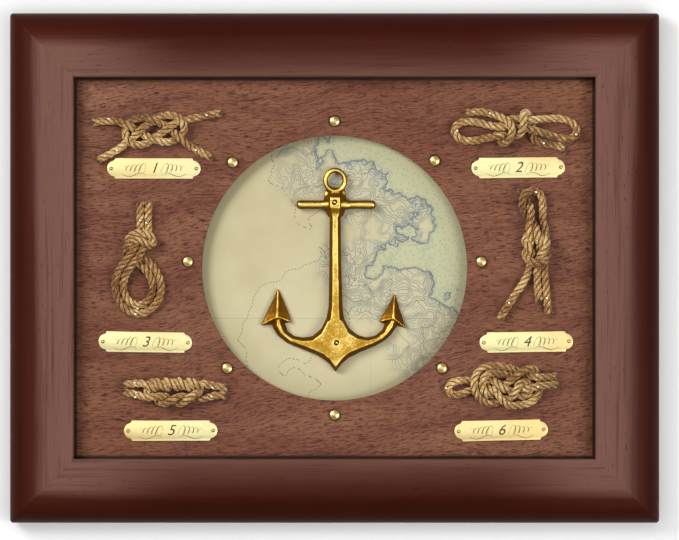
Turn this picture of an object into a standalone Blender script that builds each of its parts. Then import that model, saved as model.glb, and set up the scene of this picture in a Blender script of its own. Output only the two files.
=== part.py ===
# Sailors' knot board: six rope knots with brass name plates round a brass anchor on a chart,
# pinned to a veneered panel in a deep mitred frame that hangs on a wall.
# Metres, +Z up. The front looks along -Y. The origin lies in the middle of the top rail's back,
# where it meets the wall. Depth below is the distance in front of the wall.
import math

import bmesh
import bpy
import numpy as np
from mathutils import Matrix, Vector

mm = 0.001

# Frame
frame_width = 0.400
frame_height = 0.314
rail_width = 0.0396
rail_depth = 0.024
rail_side = 0.006  # straight outer side behind the round
flat_width = 0.0135  # flat band beside the opening
lip_radius = 0.0015
lip_thickness = 0.010  # from the flat band back to the rabbet
rabbet_width = 0.006
round_steps = 7

# Layers in the rabbet, front to back
panel_thickness = 0.006
chart_thickness = 0.001
backing_thickness = 0.0055
layer_clearance = 0.0005  # all round, inside the rabbet
seat_gap = 0.0003  # between any two pieces that rest on each other

# Round window in the panel, and the tacks round it
window_radius = 0.0816
window_sides = 72
tack_margin = 0.0088  # from the window's edge to the middle of a tack
tack_angles = (90.0, 47.0, 2.5, -43.0, -90.0, -137.0, 177.5, 134.0)
tack_radius = 0.00355
tack_height = 0.0024
tack_shank = 0.0008
tack_length = 0.0048

# Name plates: sheet brass with a round ear at each end and a scalloped corner beside it
plate_length = 0.0576
plate_height = 0.0127
plate_sheet = 0.0006
plate_notch = 0.00166
plate_ear = 0.0032  # how far an ear reaches past the corners
pin_inset = 0.0026  # from a plate's end to the middle of its pin
pin_head = 0.0011
pin_height = 0.0008
pin_shank = 0.0005
pin_length = 0.0060

# Brass anchor, cast flat behind
anchor_top = 0.0619  # above the middle of the board
anchor_ring_radius = 0.0060
anchor_ring_wire = 0.00155
anchor_ring_stretch = 1.07  # the ring is this much taller than it is wide
anchor_ring_across = 0.0003
stock_length = 0.0488
stock_radius = 0.0028
stock_middle = (0.0009, 0.0031, 0.0390)  # across, depth above the anchor's back, up
stock_lean = 1.0
hub_half = 0.0068
nail_places = ((0.0, 0.0405), (0.0012, -0.0460))  # across, up
nail_faces = (0.0073, 0.0067)  # how high the anchor stands round each nail
nail_recess = 0.0015  # radius of the hole that a nail's head is sunk in
nail_sink = 0.0013
nail_head = 0.0011
nail_height = 0.0007
nail_shank = 0.0006
nail_bite = 0.0045  # how far a nail goes into the backing board

# Rope
rope_diameter = 0.0044
rope_spacing = 0.0049  # between the middles of two runs that touch
rope_step = 0.0027  # between the points of a tube

# Hanging rings and their straps, on the back of the side rails
hanger_up = 0.095
ring_wire = 0.0010
ring_width = 0.016
ring_side = 0.005
strap_width = 0.010
strap_sheet = 0.0008
strap_length = 0.016
eye_clearance = 0.0003

# Turn buttons on the side rails that keep the backing board in
button_up = 0.045
button_length = 0.026
button_width = 0.009
button_sheet = 0.0012
button_reach = 0.0085  # past the rabbet's edge, over the backing board

# Pan head screws
screw_head = 0.00275
screw_height = 0.0016
screw_shank = 0.0014
screw_length = 0.011
bore_clearance = 0.0003

# Sizes that follow
back_face = rail_width - rabbet_width
board_middle = -(frame_height / 2 - back_face / 2)  # height of the board's middle
panel_front = rail_depth - lip_thickness - seat_gap
chart_front = panel_front - panel_thickness - seat_gap
backing_front = chart_front - chart_thickness - seat_gap
layer_width = frame_width - 2 * (back_face + layer_clearance)
layer_height = frame_height - 2 * (back_face + layer_clearance)
anchor_back = chart_front + seat_gap
rope_floor = panel_front + seat_gap + rope_diameter / 2
tack_circle = window_radius + tack_margin
pin_spacing = plate_length - 2 * pin_inset

# The plates and knots keep to lines between the tacks and the frame's opening: a column on each
# side, the middle of the strip beside the window, and a row below the window.
tack_reach = tack_circle + tack_radius
opening_across = frame_width / 2 - rail_width
opening_up = frame_height / 2 - rail_width
column = tack_reach + (opening_across - tack_reach) * 2 / 3
beside = tack_reach + (opening_across - tack_reach) / 2
row = tack_reach + (opening_up - tack_reach) * 0.4
plate_places = (  # across, up, tilt in degrees
    (0.02695 - column, 0.0613, 0.0),
    (column - 0.02525, 0.0618, 0.7),
    (0.02175 - column, -0.0456, -0.8),
    (column - 0.02025, -0.0455, 1.0),
    (0.03735 - column, 0.0032 - row, 0.3),
    (column - 0.03575, 0.0034 - row, 1.4),
)
knot_places = {  # across, up
    "carrick_bend": (0.02695 - column, 0.0825),
    "sheepshank": (column - 0.02725, 0.0860),
    "bowline": (0.0072 - beside, 0.0070),
    "reef_knot": (beside - 0.0092, 0.0180),
    "surgeons_knot": (0.03725 - column, -0.0760),
    "figure_eight": (column - 0.04225, -0.0710),
}

# Routes of the ropes in millimetres from each knot's middle: across, up and layer, where one
# layer is one rope spacing above the panel. The knots are drawn tight from these by settled().
carrick_left = [
    (-38, 7, 0), (-27.5, 8.5, 0), (-20.5, 7.5, 0.5), (-16, 5, 1), (-10.5, 0.5, 0),
    (-5.5, -1.5, 0.4), (-0.5, -3, 1), (5, -5, 0.5), (10.5, -5.5, 0), (15.5, -2.5, 0),
    (19.5, 1.5, 0.5), (20, 5.5, 1), (17.5, 8.5, 1), (12.5, 11, 0.5), (7, 12, 0),
    (3.5, 11, 0), (-0.5, 8.5, 0), (-4.5, 5.5, 0.5), (-10.5, 0.5, 1), (-13, -1.5, 0.6),
    (-15.5, -4, 0), (-20.5, -9, 0), (-28, -13, 0), (-35, -16.5, 0),
]
carrick_right = [
    (41.5, 13, 0), (32.5, 11.5, 0), (23.5, 9.5, 0), (17.5, 8.5, 0), (13, 6.5, 0.5),
    (10, 4.5, 1), (5, 0.5, 0.4), (-0.5, -3, 0), (-4, -6, 0.2), (-8, -8, 0.4),
    (-12.5, -7, 0.7), (-15.5, -4, 1), (-17.5, -1, 0.6), (-18, 2, 0.2), (-16, 5, 0),
    (-13.5, 8.5, 0.2), (-9.5, 10.5, 0.5), (-4.5, 10.5, 0.8), (-0.5, 8.5, 1), (5, 6.5, 0.5),
    (10, 4.5, 0), (12.5, 1.5, 0.4), (15.5, -2.5, 1), (21, -6.5, 0.5), (26, -10, 0),
    (36, -14.5, 0),
]
sheepshank_route = [
    (-31, 9, 0), (-23.5, 11, 0), (-16, 9.5, 0), (-10, 7, 0.6), (-5, 4.5, 1.6),
    (-2.5, 1, 2.1), (-3, -3.5, 2.1), (-6.5, -7, 1.4), (-9, -9, 0.4), (-10.5, -7, 0),
    (-7.5, -1, 0), (-4.5, 5.5, 0.2), (0.5, 7, 0.6), (6.5, 6, 0.8), (12.5, 5.5, 0.6),
    (18, 5.5, 0.3), (26, 6.5, 0), (34.5, 4.5, 0), (40, -0.5, 0), (39, -5, 0),
    (33.5, -7.5, 0), (26, -6, 0.2), (18, -3, 0.6), (11, -1, 1), (4.5, 0.5, 1.1),
    (-2, 1, 1), (-8.5, 0.5, 0.9), (-15.5, 1.5, 0.4), (-21, 3, 0), (-28.5, 5, 0),
    (-35.5, 4, 0), (-39.5, -1, 0), (-36.5, -6, 0), (-29, -8.5, 0), (-21, -7, 0.3),
    (-13, -5, 0.7), (-7.5, -4.5, 0.9), (-1, -4.5, 1), (4, -4.5, 1.2), (7.5, -1.5, 1.9),
    (8, 3, 2.1), (6.5, 7, 1.8), (5, 9, 0.9), (7, 8, 0.1), (8.5, 3, 0), (8, -2, 0),
    (8.5, -6, 0), (12.5, -8.5, 0), (18, -9.5, 0), (25, -10, 0), (31, -12, 0),
]
bowline_route = [
    (1, 33.5, 0), (1, 26.5, 0), (0.5, 20, 0.1), (1, 15, 1), (0, 10.5, 1.1), (-3, 5.5, 1.1),
    (-7.5, 0, 0.8), (-11.5, -6, 0.2), (-14.5, -12.5, 0), (-15.5, -19.5, 0), (-13, -27.5, 0),
    (-7.5, -33.5, 0), (0, -36, 0), (7, -33, 0), (12.5, -26.5, 0), (13.5, -19, 0),
    (12, -13, 0), (8.5, -7.5, 0), (4.5, -3.5, 0), (0, 0, 0), (-5, 2.5, 0), (-8.5, 7, 0.2),
    (-7.5, 11.5, 1.3), (-3, 14.5, 2), (2, 15, 2.1), (6, 13.5, 1.9), (9.5, 9.5, 1.2),
    (8.5, 5.5, 1.5), (5, 5.5, 2), (1, 9, 2.2), (-3, 10, 2), (-6.5, 6, 0.9), (-4, 1.5, 0),
    (0.5, -2.5, 0), (4.5, -6.5, 0), (8, -11.5, 0), (9.5, -17.5, 0), (8, -23.5, 0),
    (4, -29.5, 0), (-0.5, -31.5, 0), (-6, -29.5, 0), (-10, -24.5, 0), (-11, -18.5, 0),
    (-9.5, -12.5, 0), (-6.5, -6.5, 0.3), (-2.5, -1, 1), (1.5, 4.5, 1.1), (4, 10, 1.1),
    (5, 15, 1), (5, 20.5, 0.2), (5, 26.5, 0), (5, 33.5, 0),
]
reef_upper = [
    (-3.5, 31, 0), (-1.5, 24.5, 0), (1, 18.5, 0.1), (3, 12, 0.6), (4, 6, 1.1), (4, 0, 2),
    (2.5, -4.5, 1.7), (0, -8, 1), (1, -12, 1.1), (5, -15, 2), (10, -14, 2),
    (12.5, -10, 1.2), (10.5, -6, 1.2), (8, -2.5, 1.9), (6.5, 3, 2), (4.5, 8.5, 1),
    (2, 13, 0.3), (-1, 19, 0.1), (-2.5, 24.5, 0.1), (-1, 29, 0.9), (3.5, 31, 0.7),
    (8, 30, 0.2), (10.5, 25.5, 0), (10.5, 19, 0), (9, 12, 0), (8.5, 5, 0), (7.5, -1.5, 0),
    (7.5, -8.5, 0), (8.5, -15, 0), (10.5, -21, 0), (12, -27, 0), (12, -34, 0),
    (12.5, -41, 0), (14, -47, 0),
]
reef_lower = [
    (-16.5, -49.5, 0), (-13, -43.5, 0), (-8.5, -37, 0), (-4, -30, 0), (0.5, -23.5, 0),
    (3, -18, 0.2), (4.5, -14, 0.9), (4.5, -10, 1.4), (2, -6, 2.2), (0, -1.5, 1.6),
    (1, 1.5, 1), (5.5, 3.5, 1), (10.5, 2, 1.1), (12, -2.5, 1.6), (10.5, -7, 2.1),
    (8, -11.5, 1.3), (7, -16.5, 0.8), (7, -22.5, 0.1), (7, -30, 0), (8.5, -38.5, 0),
]
eight_centre = [  # the knot is tied in doubled rope, and this runs between its two parts
    (41, 2, 0), (34, 1.5, 0), (28, 1, 0.6), (24, 0.5, 1), (17.5, 2.5, 0.4), (12, 5, 0),
    (6.5, 7.5, 0), (0.5, 8.5, 0), (-5.5, 7, 0.4), (-8.5, 2.5, 0.9), (-8.5, -1.5, 1),
    (-6.5, -6, 0.8), (-1, -8.5, 0.2), (5, -8, 0.1), (10.5, -4.5, 0.5), (14.5, 0, 1),
    (18.5, 3.5, 1), (23.5, 4.5, 0.6), (27.5, 2, 0), (28, -3.5, 0), (24.5, -8.5, 0),
    (17.5, -10.5, 0.1), (11.5, -8.5, 0.4), (7.5, -5, 1.1), (3, -1.5, 1.1),
    (-2.5, -0.5, 0.9), (-6.5, -0.5, 0), (-10, -1, 0),
]
eight_loop = [
    (-13.5, -4.5, 0), (-17.5, -7, 0), (-23, -8.5, 0), (-27.5, -6, 0), (-28, -2, 0),
    (-24.5, 1.5, 0), (-19.5, 2.5, 0), (-14, 2, 0),
]
surgeon_left = [(-29.5, 0, 0), (-23.5, -0.5, 0), (-18.5, -2, 0.1)]
surgeon_left_turn = [(20, -1.5, 0.4), (20.5, 2, 0.5)]
surgeon_left_end = [(-19, 5.5, 0.2), (-24, 5, 0), (-29, 4, 0)]
surgeon_right = [(34, -2, 0), (29, -1.5, 0), (24.5, -2.5, 0), (20, -4, 0.2)]
surgeon_right_turn = [(-17.5, 0, 0.5), (-17.5, 1, 0.6)]
surgeon_right_end = [(22, 4, 0.3), (28, 3, 0), (35, 2, 0)]
surgeon_lower_twist = (-14, 16, -1.5, -4.0, 3)  # from, to, height, bow, half turns
surgeon_upper_twist = (-14, 16.5, 3.5, 0.9, 5)
twist_swing = 2.1

for old in list(bpy.data.objects):
    bpy.data.objects.remove(old, do_unlink=True)

board = bpy.data.objects.new("board", None)
board.location = (0.0, 0.0, board_middle)
bpy.context.scene.collection.objects.link(board)


def at(across, depth, up):
    """A point given by its place on the board and its depth in front of the wall."""
    return Vector((across, -depth, up))


def finish(name, colour, roughness, metallic):
    material = bpy.data.materials.get(name)
    if material:
        return material
    material = bpy.data.materials.new(name)
    material.use_nodes = True
    shader = material.node_tree.nodes["Principled BSDF"]
    shader.inputs["Base Color"].default_value = (*colour, 1.0)
    shader.inputs["Roughness"].default_value = roughness
    shader.inputs["Metallic"].default_value = metallic
    return material


def frame_wood():
    return finish("frame_wood", (0.075, 0.026, 0.016), 0.38, 0.0)


def panel_wood():
    return finish("panel_wood", (0.21, 0.085, 0.052), 0.6, 0.0)


def chart_paper():
    return finish("chart_paper", (0.60, 0.55, 0.36), 0.85, 0.0)


def backing_wood():
    return finish("backing_wood", (0.36, 0.25, 0.15), 0.8, 0.0)


def polished_brass():
    return finish("polished_brass", (0.86, 0.72, 0.36), 0.25, 1.0)


def cast_brass():
    return finish("cast_brass", (0.76, 0.53, 0.18), 0.34, 1.0)


def jute_rope():
    return finish("jute_rope", (0.43, 0.27, 0.12), 0.9, 0.0)


def plated_steel():
    return finish("plated_steel", (0.62, 0.61, 0.58), 0.35, 1.0)


def placed(name, data, material, parent=board, location=(0.0, 0.0, 0.0), turn=(0.0, 0.0, 0.0)):
    obj = bpy.data.objects.new(name, data)
    if not data.materials:
        data.materials.append(material)
    obj.parent = parent
    obj.location = location
    obj.rotation_euler = turn
    bpy.context.scene.collection.objects.link(obj)
    return obj


def mesh_from(bm, name, smooth_angle=None):
    bmesh.ops.recalc_face_normals(bm, faces=bm.faces)
    mesh = bpy.data.meshes.new(name)
    bm.to_mesh(mesh)
    bm.free()
    if smooth_angle:
        mesh.shade_smooth()
        mesh.set_sharp_from_angle(angle=math.radians(smooth_angle))
    return mesh


def block(name, size, middle=(0.0, 0.0, 0.0), bevel=0.0):
    bm = bmesh.new()
    bmesh.ops.create_cube(bm, size=1.0)
    bmesh.ops.scale(bm, vec=size, verts=bm.verts)
    bmesh.ops.translate(bm, vec=middle, verts=bm.verts)
    if bevel:
        bmesh.ops.bevel(
            bm, geom=bm.edges, offset=bevel, segments=3, profile=0.5, affect="EDGES", material=-1
        )
    return mesh_from(bm, name, 40 if bevel else None)


def extruded(name, outline, direction):
    """A closed outline of points, drawn out along a direction."""
    bm = bmesh.new()
    face = bm.faces.new([bm.verts.new(point) for point in outline])
    moved = bmesh.ops.extrude_face_region(bm, geom=[face])
    verts = [item for item in moved["geom"] if isinstance(item, bmesh.types.BMVert)]
    bmesh.ops.translate(bm, vec=direction, verts=verts)
    return mesh_from(bm, name)


def turned(name, profile, steps, smooth_angle=40):
    """A profile of (radius, forward) points, turned about the axis that looks out of the board."""
    bm = bmesh.new()
    verts = [bm.verts.new((radius, -forward, 0.0)) for radius, forward in profile]
    edges = [bm.edges.new(ends) for ends in zip(verts, verts[1:])]
    bmesh.ops.spin(
        bm, geom=verts + edges, cent=(0, 0, 0), axis=(0, 1, 0), dvec=(0, 0, 0),
        angle=2 * math.pi, steps=steps, use_merge=True,
    )
    bmesh.ops.remove_doubles(bm, verts=bm.verts, dist=1e-6)
    return mesh_from(bm, name, smooth_angle)


def cutter(name, mesh, parent=board, location=(0.0, 0.0, 0.0)):
    tool = placed(name, mesh, plated_steel(), parent, location)
    tool.hide_render = True
    tool.display_type = "WIRE"
    return tool


def bores(name, places, radius, front, back, sides=8):
    """One cutter holding a round bore at each place, from one depth to another."""
    bm = bmesh.new()
    for across, up in places:
        made = bmesh.ops.create_cone(
            bm, cap_ends=True, segments=sides, radius1=radius, radius2=radius, depth=front - back
        )
        facing = Matrix.Rotation(math.pi / 2, 3, "X")
        bmesh.ops.rotate(bm, cent=(0, 0, 0), matrix=facing, verts=made["verts"])
        middle = at(across, (front + back) / 2, up)
        bmesh.ops.translate(bm, vec=middle, verts=made["verts"])
    return cutter(name, mesh_from(bm, name))


def add_boolean(obj, tool, operation="DIFFERENCE"):
    modifier = obj.modifiers.new(tool.name, "BOOLEAN")
    modifier.operation = operation
    modifier.solver = "EXACT"
    modifier.object = tool


def turned_place(place, tilt, offset):
    """Where a point offset along a tilted plate lies on the board."""
    lean = math.radians(tilt)
    return (place[0] + offset * math.cos(lean), place[1] + offset * math.sin(lean))


def rail_profile():
    """The rail's section as (distance in from its outer edge, depth)."""
    round_width = rail_width - flat_width
    points = [(0.0, 0.0)]
    for k in range(round_steps + 1):
        angle = k * math.pi / 2 / round_steps
        rise = (rail_depth - rail_side) * math.sin(angle)
        points.append((round_width * (1 - math.cos(angle)), rail_side + rise))
    for k in range(3):
        angle = math.pi / 2 * (1 - k / 2)
        across = rail_width - lip_radius + lip_radius * math.cos(angle)
        points.append((across, rail_depth - lip_radius + lip_radius * math.sin(angle)))
    rabbet_front = rail_depth - lip_thickness
    points += [(rail_width, rabbet_front), (back_face, rabbet_front), (back_face, 0.0)]
    return points


def rail(name, length, reach, turn):
    """A rail whose outer edge lies at a distance reach from the board's middle."""
    mitre = seat_gap / 2 * math.sqrt(2)
    rings = []
    for side in (-1, 1):
        ring = [
            (side * (length / 2 - inward - mitre), -depth, reach - inward)
            for inward, depth in rail_profile()
        ]
        rings.append(ring)
    bm = bmesh.new()
    rows = [[bm.verts.new(point) for point in ring] for ring in rings]
    count = len(rows[0])
    for k in range(count):
        bm.faces.new((rows[0][k], rows[0][(k + 1) % count], rows[1][(k + 1) % count], rows[1][k]))
    for row in rows:
        bm.faces.new(row)
    mesh = mesh_from(bm, name, 30)
    return placed(name, mesh, frame_wood(), turn=(0.0, math.radians(turn), 0.0))


def make_frame():
    rail("top_rail", frame_width, frame_height / 2, 0)
    rail("bottom_rail", frame_width, frame_height / 2, 180)
    left = rail("left_rail", frame_height, frame_width / 2, -90)
    right = rail("right_rail", frame_height, frame_width / 2, 90)
    screw_bore = screw_shank + bore_clearance
    deep = screw_length + bore_clearance
    for side, rail_object in ((-1, left), (1, right)):
        places = [(side * button_across, up) for up in (-button_up, button_up)]
        places.append((side * hanger_across, hanger_up - hanger_screw_drop))
        name = f"{rail_object.name}_bores"
        add_boolean(rail_object, bores(name, places, screw_bore, deep, -seat_gap))


def plate_pins():
    places = []
    for across, up, tilt in plate_places:
        for side in (-1, 1):
            places.append(turned_place((across, up), tilt, side * pin_spacing / 2))
    return places


def tack_places():
    return [
        (tack_circle * math.cos(math.radians(angle)), tack_circle * math.sin(math.radians(angle)))
        for angle in tack_angles
    ]


def make_layers():
    middle = at(0, panel_front - panel_thickness / 2, 0)
    panel_size = (layer_width, panel_thickness, layer_height)
    panel = placed("knot_panel", block("knot_panel", panel_size, middle), panel_wood())
    through = panel_front + seat_gap
    behind = chart_front
    window = bores("window_cut", [(0, 0)], window_radius, through, behind, window_sides)
    add_boolean(panel, window)
    tack_bore = tack_shank + bore_clearance
    add_boolean(panel, bores("tack_bores", tack_places(), tack_bore, through, behind))
    pin_bore = pin_shank + bore_clearance
    add_boolean(panel, bores("pin_bores", plate_pins(), pin_bore, through, behind))
    middle = at(0, chart_front - chart_thickness / 2, 0)
    chart_size = (layer_width, chart_thickness, layer_height)
    chart = placed("chart_card", block("chart_card", chart_size, middle), chart_paper())
    middle = at(0, backing_front - backing_thickness / 2, 0)
    backing_size = (layer_width, backing_thickness, layer_height)
    backing = placed("backing_board", block("backing_board", backing_size, middle), backing_wood())
    nail_bore = nail_shank + bore_clearance
    bottom = backing_front - nail_bite - bore_clearance
    nail_cut = bores("nail_bores", nail_places, nail_bore, anchor_back, bottom)
    add_boolean(chart, nail_cut)
    add_boolean(backing, nail_cut)


def domed_profile(radius, height, shank, length, steps):
    """Head dome from its crown to its rim, then the shank down to its point."""
    points = []
    for k in range(steps + 1):
        angle = k * math.pi / 2 / steps
        points.append((radius * math.sin(angle), height * math.cos(angle)))
    points += [(shank, 0.0), (shank, -length + 2 * shank), (0.0, -length)]
    return points


def make_tacks():
    profile = domed_profile(tack_radius, tack_height, tack_shank, tack_length, 4)
    mesh = turned("tack", profile, 16)
    for number, (across, up) in enumerate(tack_places(), 1):
        place = at(across, panel_front + seat_gap, up)
        placed(f"dome_tack_{number}", mesh, polished_brass(), location=place)


def plate_outline():
    """The plate's outline as (across, up), anticlockwise from the lower right corner."""
    corner = plate_length / 2 - plate_ear
    half = plate_height / 2
    notch_end = half - plate_notch
    reach = plate_ear
    ear_radius = (notch_end**2 + reach**2) / (2 * reach)
    ear_middle = plate_length / 2 - ear_radius
    swing = math.asin(notch_end / ear_radius)
    right = []
    for k in range(5):
        angle = math.pi - k * math.pi / 8
        right.append((corner + plate_notch * math.cos(angle), -half + plate_notch * math.sin(angle)))
    for k in range(1, 8):
        angle = -swing + k * 2 * swing / 8
        right.append((ear_middle + ear_radius * math.cos(angle), ear_radius * math.sin(angle)))
    right += [(across, -up) for across, up in reversed(right[:5])]
    left = [(-across, -up) for across, up in right]
    return right + left


def make_plates():
    outline = [(across, 0.0, up) for across, up in plate_outline()]
    blank = placed("plate_blank", extruded("plate_blank", outline, (0, -plate_sheet, 0)), polished_brass())
    pin_bore = pin_shank + bore_clearance
    ends = [(-pin_spacing / 2, 0.0), (pin_spacing / 2, 0.0)]
    tool = bores("plate_bores", ends, pin_bore, plate_sheet + seat_gap, -seat_gap)
    add_boolean(blank, tool)
    sheet = finished_mesh(blank, "name_plate")
    bpy.data.objects.remove(blank)
    bpy.data.objects.remove(tool)
    profile = domed_profile(pin_head, pin_height, pin_shank, pin_length, 2)
    pin = turned("plate_pin", profile, 10)
    for number, (across, up, tilt) in enumerate(plate_places, 1):
        place = at(across, panel_front + seat_gap, up)
        lean = (0.0, math.radians(-tilt), 0.0)
        plate = placed(f"name_plate_{number}", sheet, polished_brass(), location=place, turn=lean)
        for side, word in ((-1, "left"), (1, "right")):
            head = at(side * pin_spacing / 2, plate_sheet + seat_gap, 0)
            placed(f"plate_pin_{number}_{word}", pin, polished_brass(), plate, head)


def finished_mesh(obj, name, smooth_angle=None):
    """The object's mesh with its modifiers carried out."""
    bpy.context.view_layer.update()
    graph = bpy.context.evaluated_depsgraph_get()
    mesh = bpy.data.meshes.new_from_object(obj.evaluated_get(graph))
    mesh.name = name
    if smooth_angle:
        mesh.shade_smooth()
        mesh.set_sharp_from_angle(angle=math.radians(smooth_angle))
    return mesh


def ridged(name, stations, back=0.0):
    """A casting, flat behind, whose sides slope up from their edges to a band along its middle.
    A station gives one edge, the other edge, the height of the edges, the height of the band and
    the band's share of the width, and where the band's middle is if it isn't halfway across."""
    rings = []
    for one, other, edge_height, band_height, band, *middle in stations:
        one = Vector(one)
        other = Vector(other)
        ridge = Vector(middle[0]) if middle else (one + other) / 2
        near = ridge + (one - other) / 2 * band
        far = ridge - (one - other) / 2 * band
        rings.append([
            at(one.x * mm, back, one.y * mm),
            at(one.x * mm, edge_height * mm, one.y * mm),
            at(near.x * mm, band_height * mm, near.y * mm),
            at(far.x * mm, band_height * mm, far.y * mm),
            at(other.x * mm, edge_height * mm, other.y * mm),
            at(other.x * mm, back, other.y * mm),
        ])
    bm = bmesh.new()
    rows = [[bm.verts.new(point) for point in ring] for ring in rings]
    for near, far in zip(rows, rows[1:]):
        for k in range(6):
            bm.faces.new((near[k], near[(k + 1) % 6], far[(k + 1) % 6], far[k]))
    for row in (rows[0], rows[-1]):
        bm.faces.new(row)
    bmesh.ops.remove_doubles(bm, verts=bm.verts, dist=1e-6)
    bmesh.ops.triangulate(bm, faces=bm.faces)
    return mesh_from(bm, name)


# The anchor in millimetres from the board's middle, as stations for ridged()
arm_stations = [
    ((-37.4, -31.0), (-32.4, -31.0), 2.4, 5.0, 0.3),
    ((-38.4, -36.0), (-30.2, -35.2), 2.4, 5.4, 0.3),
    ((-35.0, -41.6), (-29.0, -38.8), 2.4, 5.4, 0.3),
    ((-29.0, -46.2), (-24.9, -41.9), 2.5, 5.6, 0.35),
    ((-21.2, -49.4), (-19.3, -42.8), 2.6, 6.0, 0.4),
    ((-11.9, -53.1), (-13.8, -42.0), 2.8, 6.4, 0.56),
    ((-6.4, -56.3), (-8.2, -37.4), 2.9, 6.6, 0.68),
    ((-2.7, -59.6), (-4.6, -30.0), 2.9, 6.7, 0.78),
    ((0.5, -64.0), (0.6, -27.0), 2.9, 6.7, 0.84),
    ((4.2, -59.2), (5.4, -30.0), 2.9, 6.7, 0.78),
    ((8.4, -55.4), (8.6, -36.8), 2.9, 6.6, 0.68),
    ((15.8, -51.7), (13.9, -41.1), 2.8, 6.4, 0.56),
    ((25.0, -48.0), (19.5, -42.8), 2.6, 6.0, 0.4),
    ((30.6, -44.8), (25.0, -41.6), 2.5, 5.6, 0.35),
    ((34.3, -41.6), (29.4, -38.1), 2.4, 5.4, 0.3),
    ((38.2, -36.2), (30.4, -35.2), 2.4, 5.4, 0.3),
    ((38.6, -31.4), (34.0, -31.4), 2.4, 5.0, 0.3),
]
left_fluke_stations = [
    ((-35.0, -12.9), (-34.6, -12.9), 1.6, 2.0, 0.1),
    ((-38.7, -21.0), (-31.3, -20.5), 2.0, 4.0, 0.08, (-34.9, -20.5)),
    ((-42.8, -29.5), (-28.0, -28.5), 2.2, 5.6, 0.04, (-35.1, -27.0)),
    ((-45.6, -35.7), (-26.4, -33.7), 2.2, 6.2, 0.03, (-35.3, -30.6)),
]
right_fluke_stations = [
    ((36.8, -16.2), (37.2, -16.2), 1.6, 2.0, 0.1),
    ((33.3, -22.6), (39.4, -23.4), 2.0, 4.0, 0.08, (36.8, -22.6)),
    ((29.8, -29.0), (41.9, -31.0), 2.2, 5.6, 0.04, (36.5, -28.4)),
    ((27.3, -33.5), (44.0, -37.2), 2.2, 6.2, 0.03, (36.3, -31.4)),
]
shank_stations = [
    ((-3.0, 34.0), (3.7, 34.0), 2.6, 5.6, 0.46),
    ((-3.2, 10.0), (3.9, 10.0), 2.6, 5.7, 0.46),
    ((-3.4, -12.0), (4.5, -12.0), 2.7, 6.0, 0.48),
    ((-3.7, -23.5), (4.8, -23.5), 2.8, 6.4, 0.5),
    ((-5.0, -30.9), (5.7, -30.9), 2.9, 6.6, 0.5),
    ((-8.0, -37.0), (8.3, -36.3), 2.8, 6.6, 0.5),
    ((-13.0, -41.6), (13.0, -40.8), 2.7, 6.5, 0.5),
]
hub_stations = [
    ((-5.4, 49.6), (6.0, 49.6), 2.4, 2.9, 0.4),
    ((-5.7, 47.6), (6.3, 47.6), 2.6, 3.4, 0.4),
    ((-6.5, 43.4), (7.1, 43.4), 2.8, 7.3, 0.42),
    ((-6.7, 40.4), (7.2, 40.4), 2.8, 7.3, 0.44),
    ((-6.4, 37.0), (6.9, 37.0), 2.8, 7.3, 0.44),
    ((-5.2, 33.8), (5.9, 33.8), 2.7, 5.9, 0.42),
    ((-4.0, 31.6), (4.7, 31.6), 2.6, 5.4, 0.42),
]


def make_anchor():
    body = placed("anchor_blank", ridged("anchor_arms", arm_stations), cast_brass())
    parts = [
        cutter("shank", ridged("shank", shank_stations, 0.0003)),
        cutter("hub", ridged("hub", hub_stations, 0.0001)),
        cutter("left_fluke", ridged("left_fluke", left_fluke_stations, 0.0002)),
        cutter("right_fluke", ridged("right_fluke", right_fluke_stations, 0.0002)),
    ]
    end = stock_length / 2
    stock_profile = [
        (0.0, end),
        (stock_radius * 0.66, end - 0.0003),
        (stock_radius * 0.97, end - 0.0014),
        (stock_radius, end - 0.0040),
        (stock_radius * 0.96, hub_half + 0.0020),
        (stock_radius * 1.20, hub_half - 0.0010),
    ]
    stock_profile += [(radius, -along) for radius, along in reversed(stock_profile)]
    stock = turned("stock", stock_profile, 14)
    rod = cutter("stock", stock, location=at(*stock_middle))
    rod.rotation_euler = (0.0, math.radians(-stock_lean), math.pi / 2)
    parts.append(rod)
    bm = bmesh.new()
    made = bmesh.ops.create_circle(bm, cap_ends=False, radius=anchor_ring_wire, segments=10)
    bmesh.ops.translate(bm, vec=(anchor_ring_radius, 0, 0), verts=made["verts"])
    bmesh.ops.spin(
        bm, geom=list(bm.verts) + list(bm.edges), cent=(0, 0, 0), axis=(0, 1, 0),
        dvec=(0, 0, 0), angle=2 * math.pi, steps=28, use_merge=True,
    )
    bmesh.ops.remove_doubles(bm, verts=bm.verts, dist=1e-6)
    bmesh.ops.scale(bm, vec=(1, 1, anchor_ring_stretch), verts=bm.verts)
    ring_up = anchor_top - (anchor_ring_radius + anchor_ring_wire) * anchor_ring_stretch
    ring = cutter("anchor_ring", mesh_from(bm, "anchor_ring"))
    ring.location = at(anchor_ring_across, anchor_ring_wire * 2.2, ring_up)
    parts.append(ring)
    for part in parts:
        add_boolean(body, part, "UNION")
    nail_bore = nail_shank + bore_clearance
    through = max(nail_faces) + seat_gap
    cuts = [bores("anchor_bores", nail_places, nail_bore, through, -seat_gap)]
    for number, (place, face) in enumerate(zip(nail_places, nail_faces), 1):
        recess = bores(f"recess_{number}", [place], nail_recess, face + nail_sink, face - nail_sink, 14)
        cuts.append(recess)
    for tool in cuts:
        add_boolean(body, tool)
    mesh = finished_mesh(body, "brass_anchor", 38)
    for helper in [body] + parts + cuts:
        bpy.data.objects.remove(helper)
    placed("brass_anchor", mesh, cast_brass(), location=at(0, anchor_back, 0))


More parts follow.
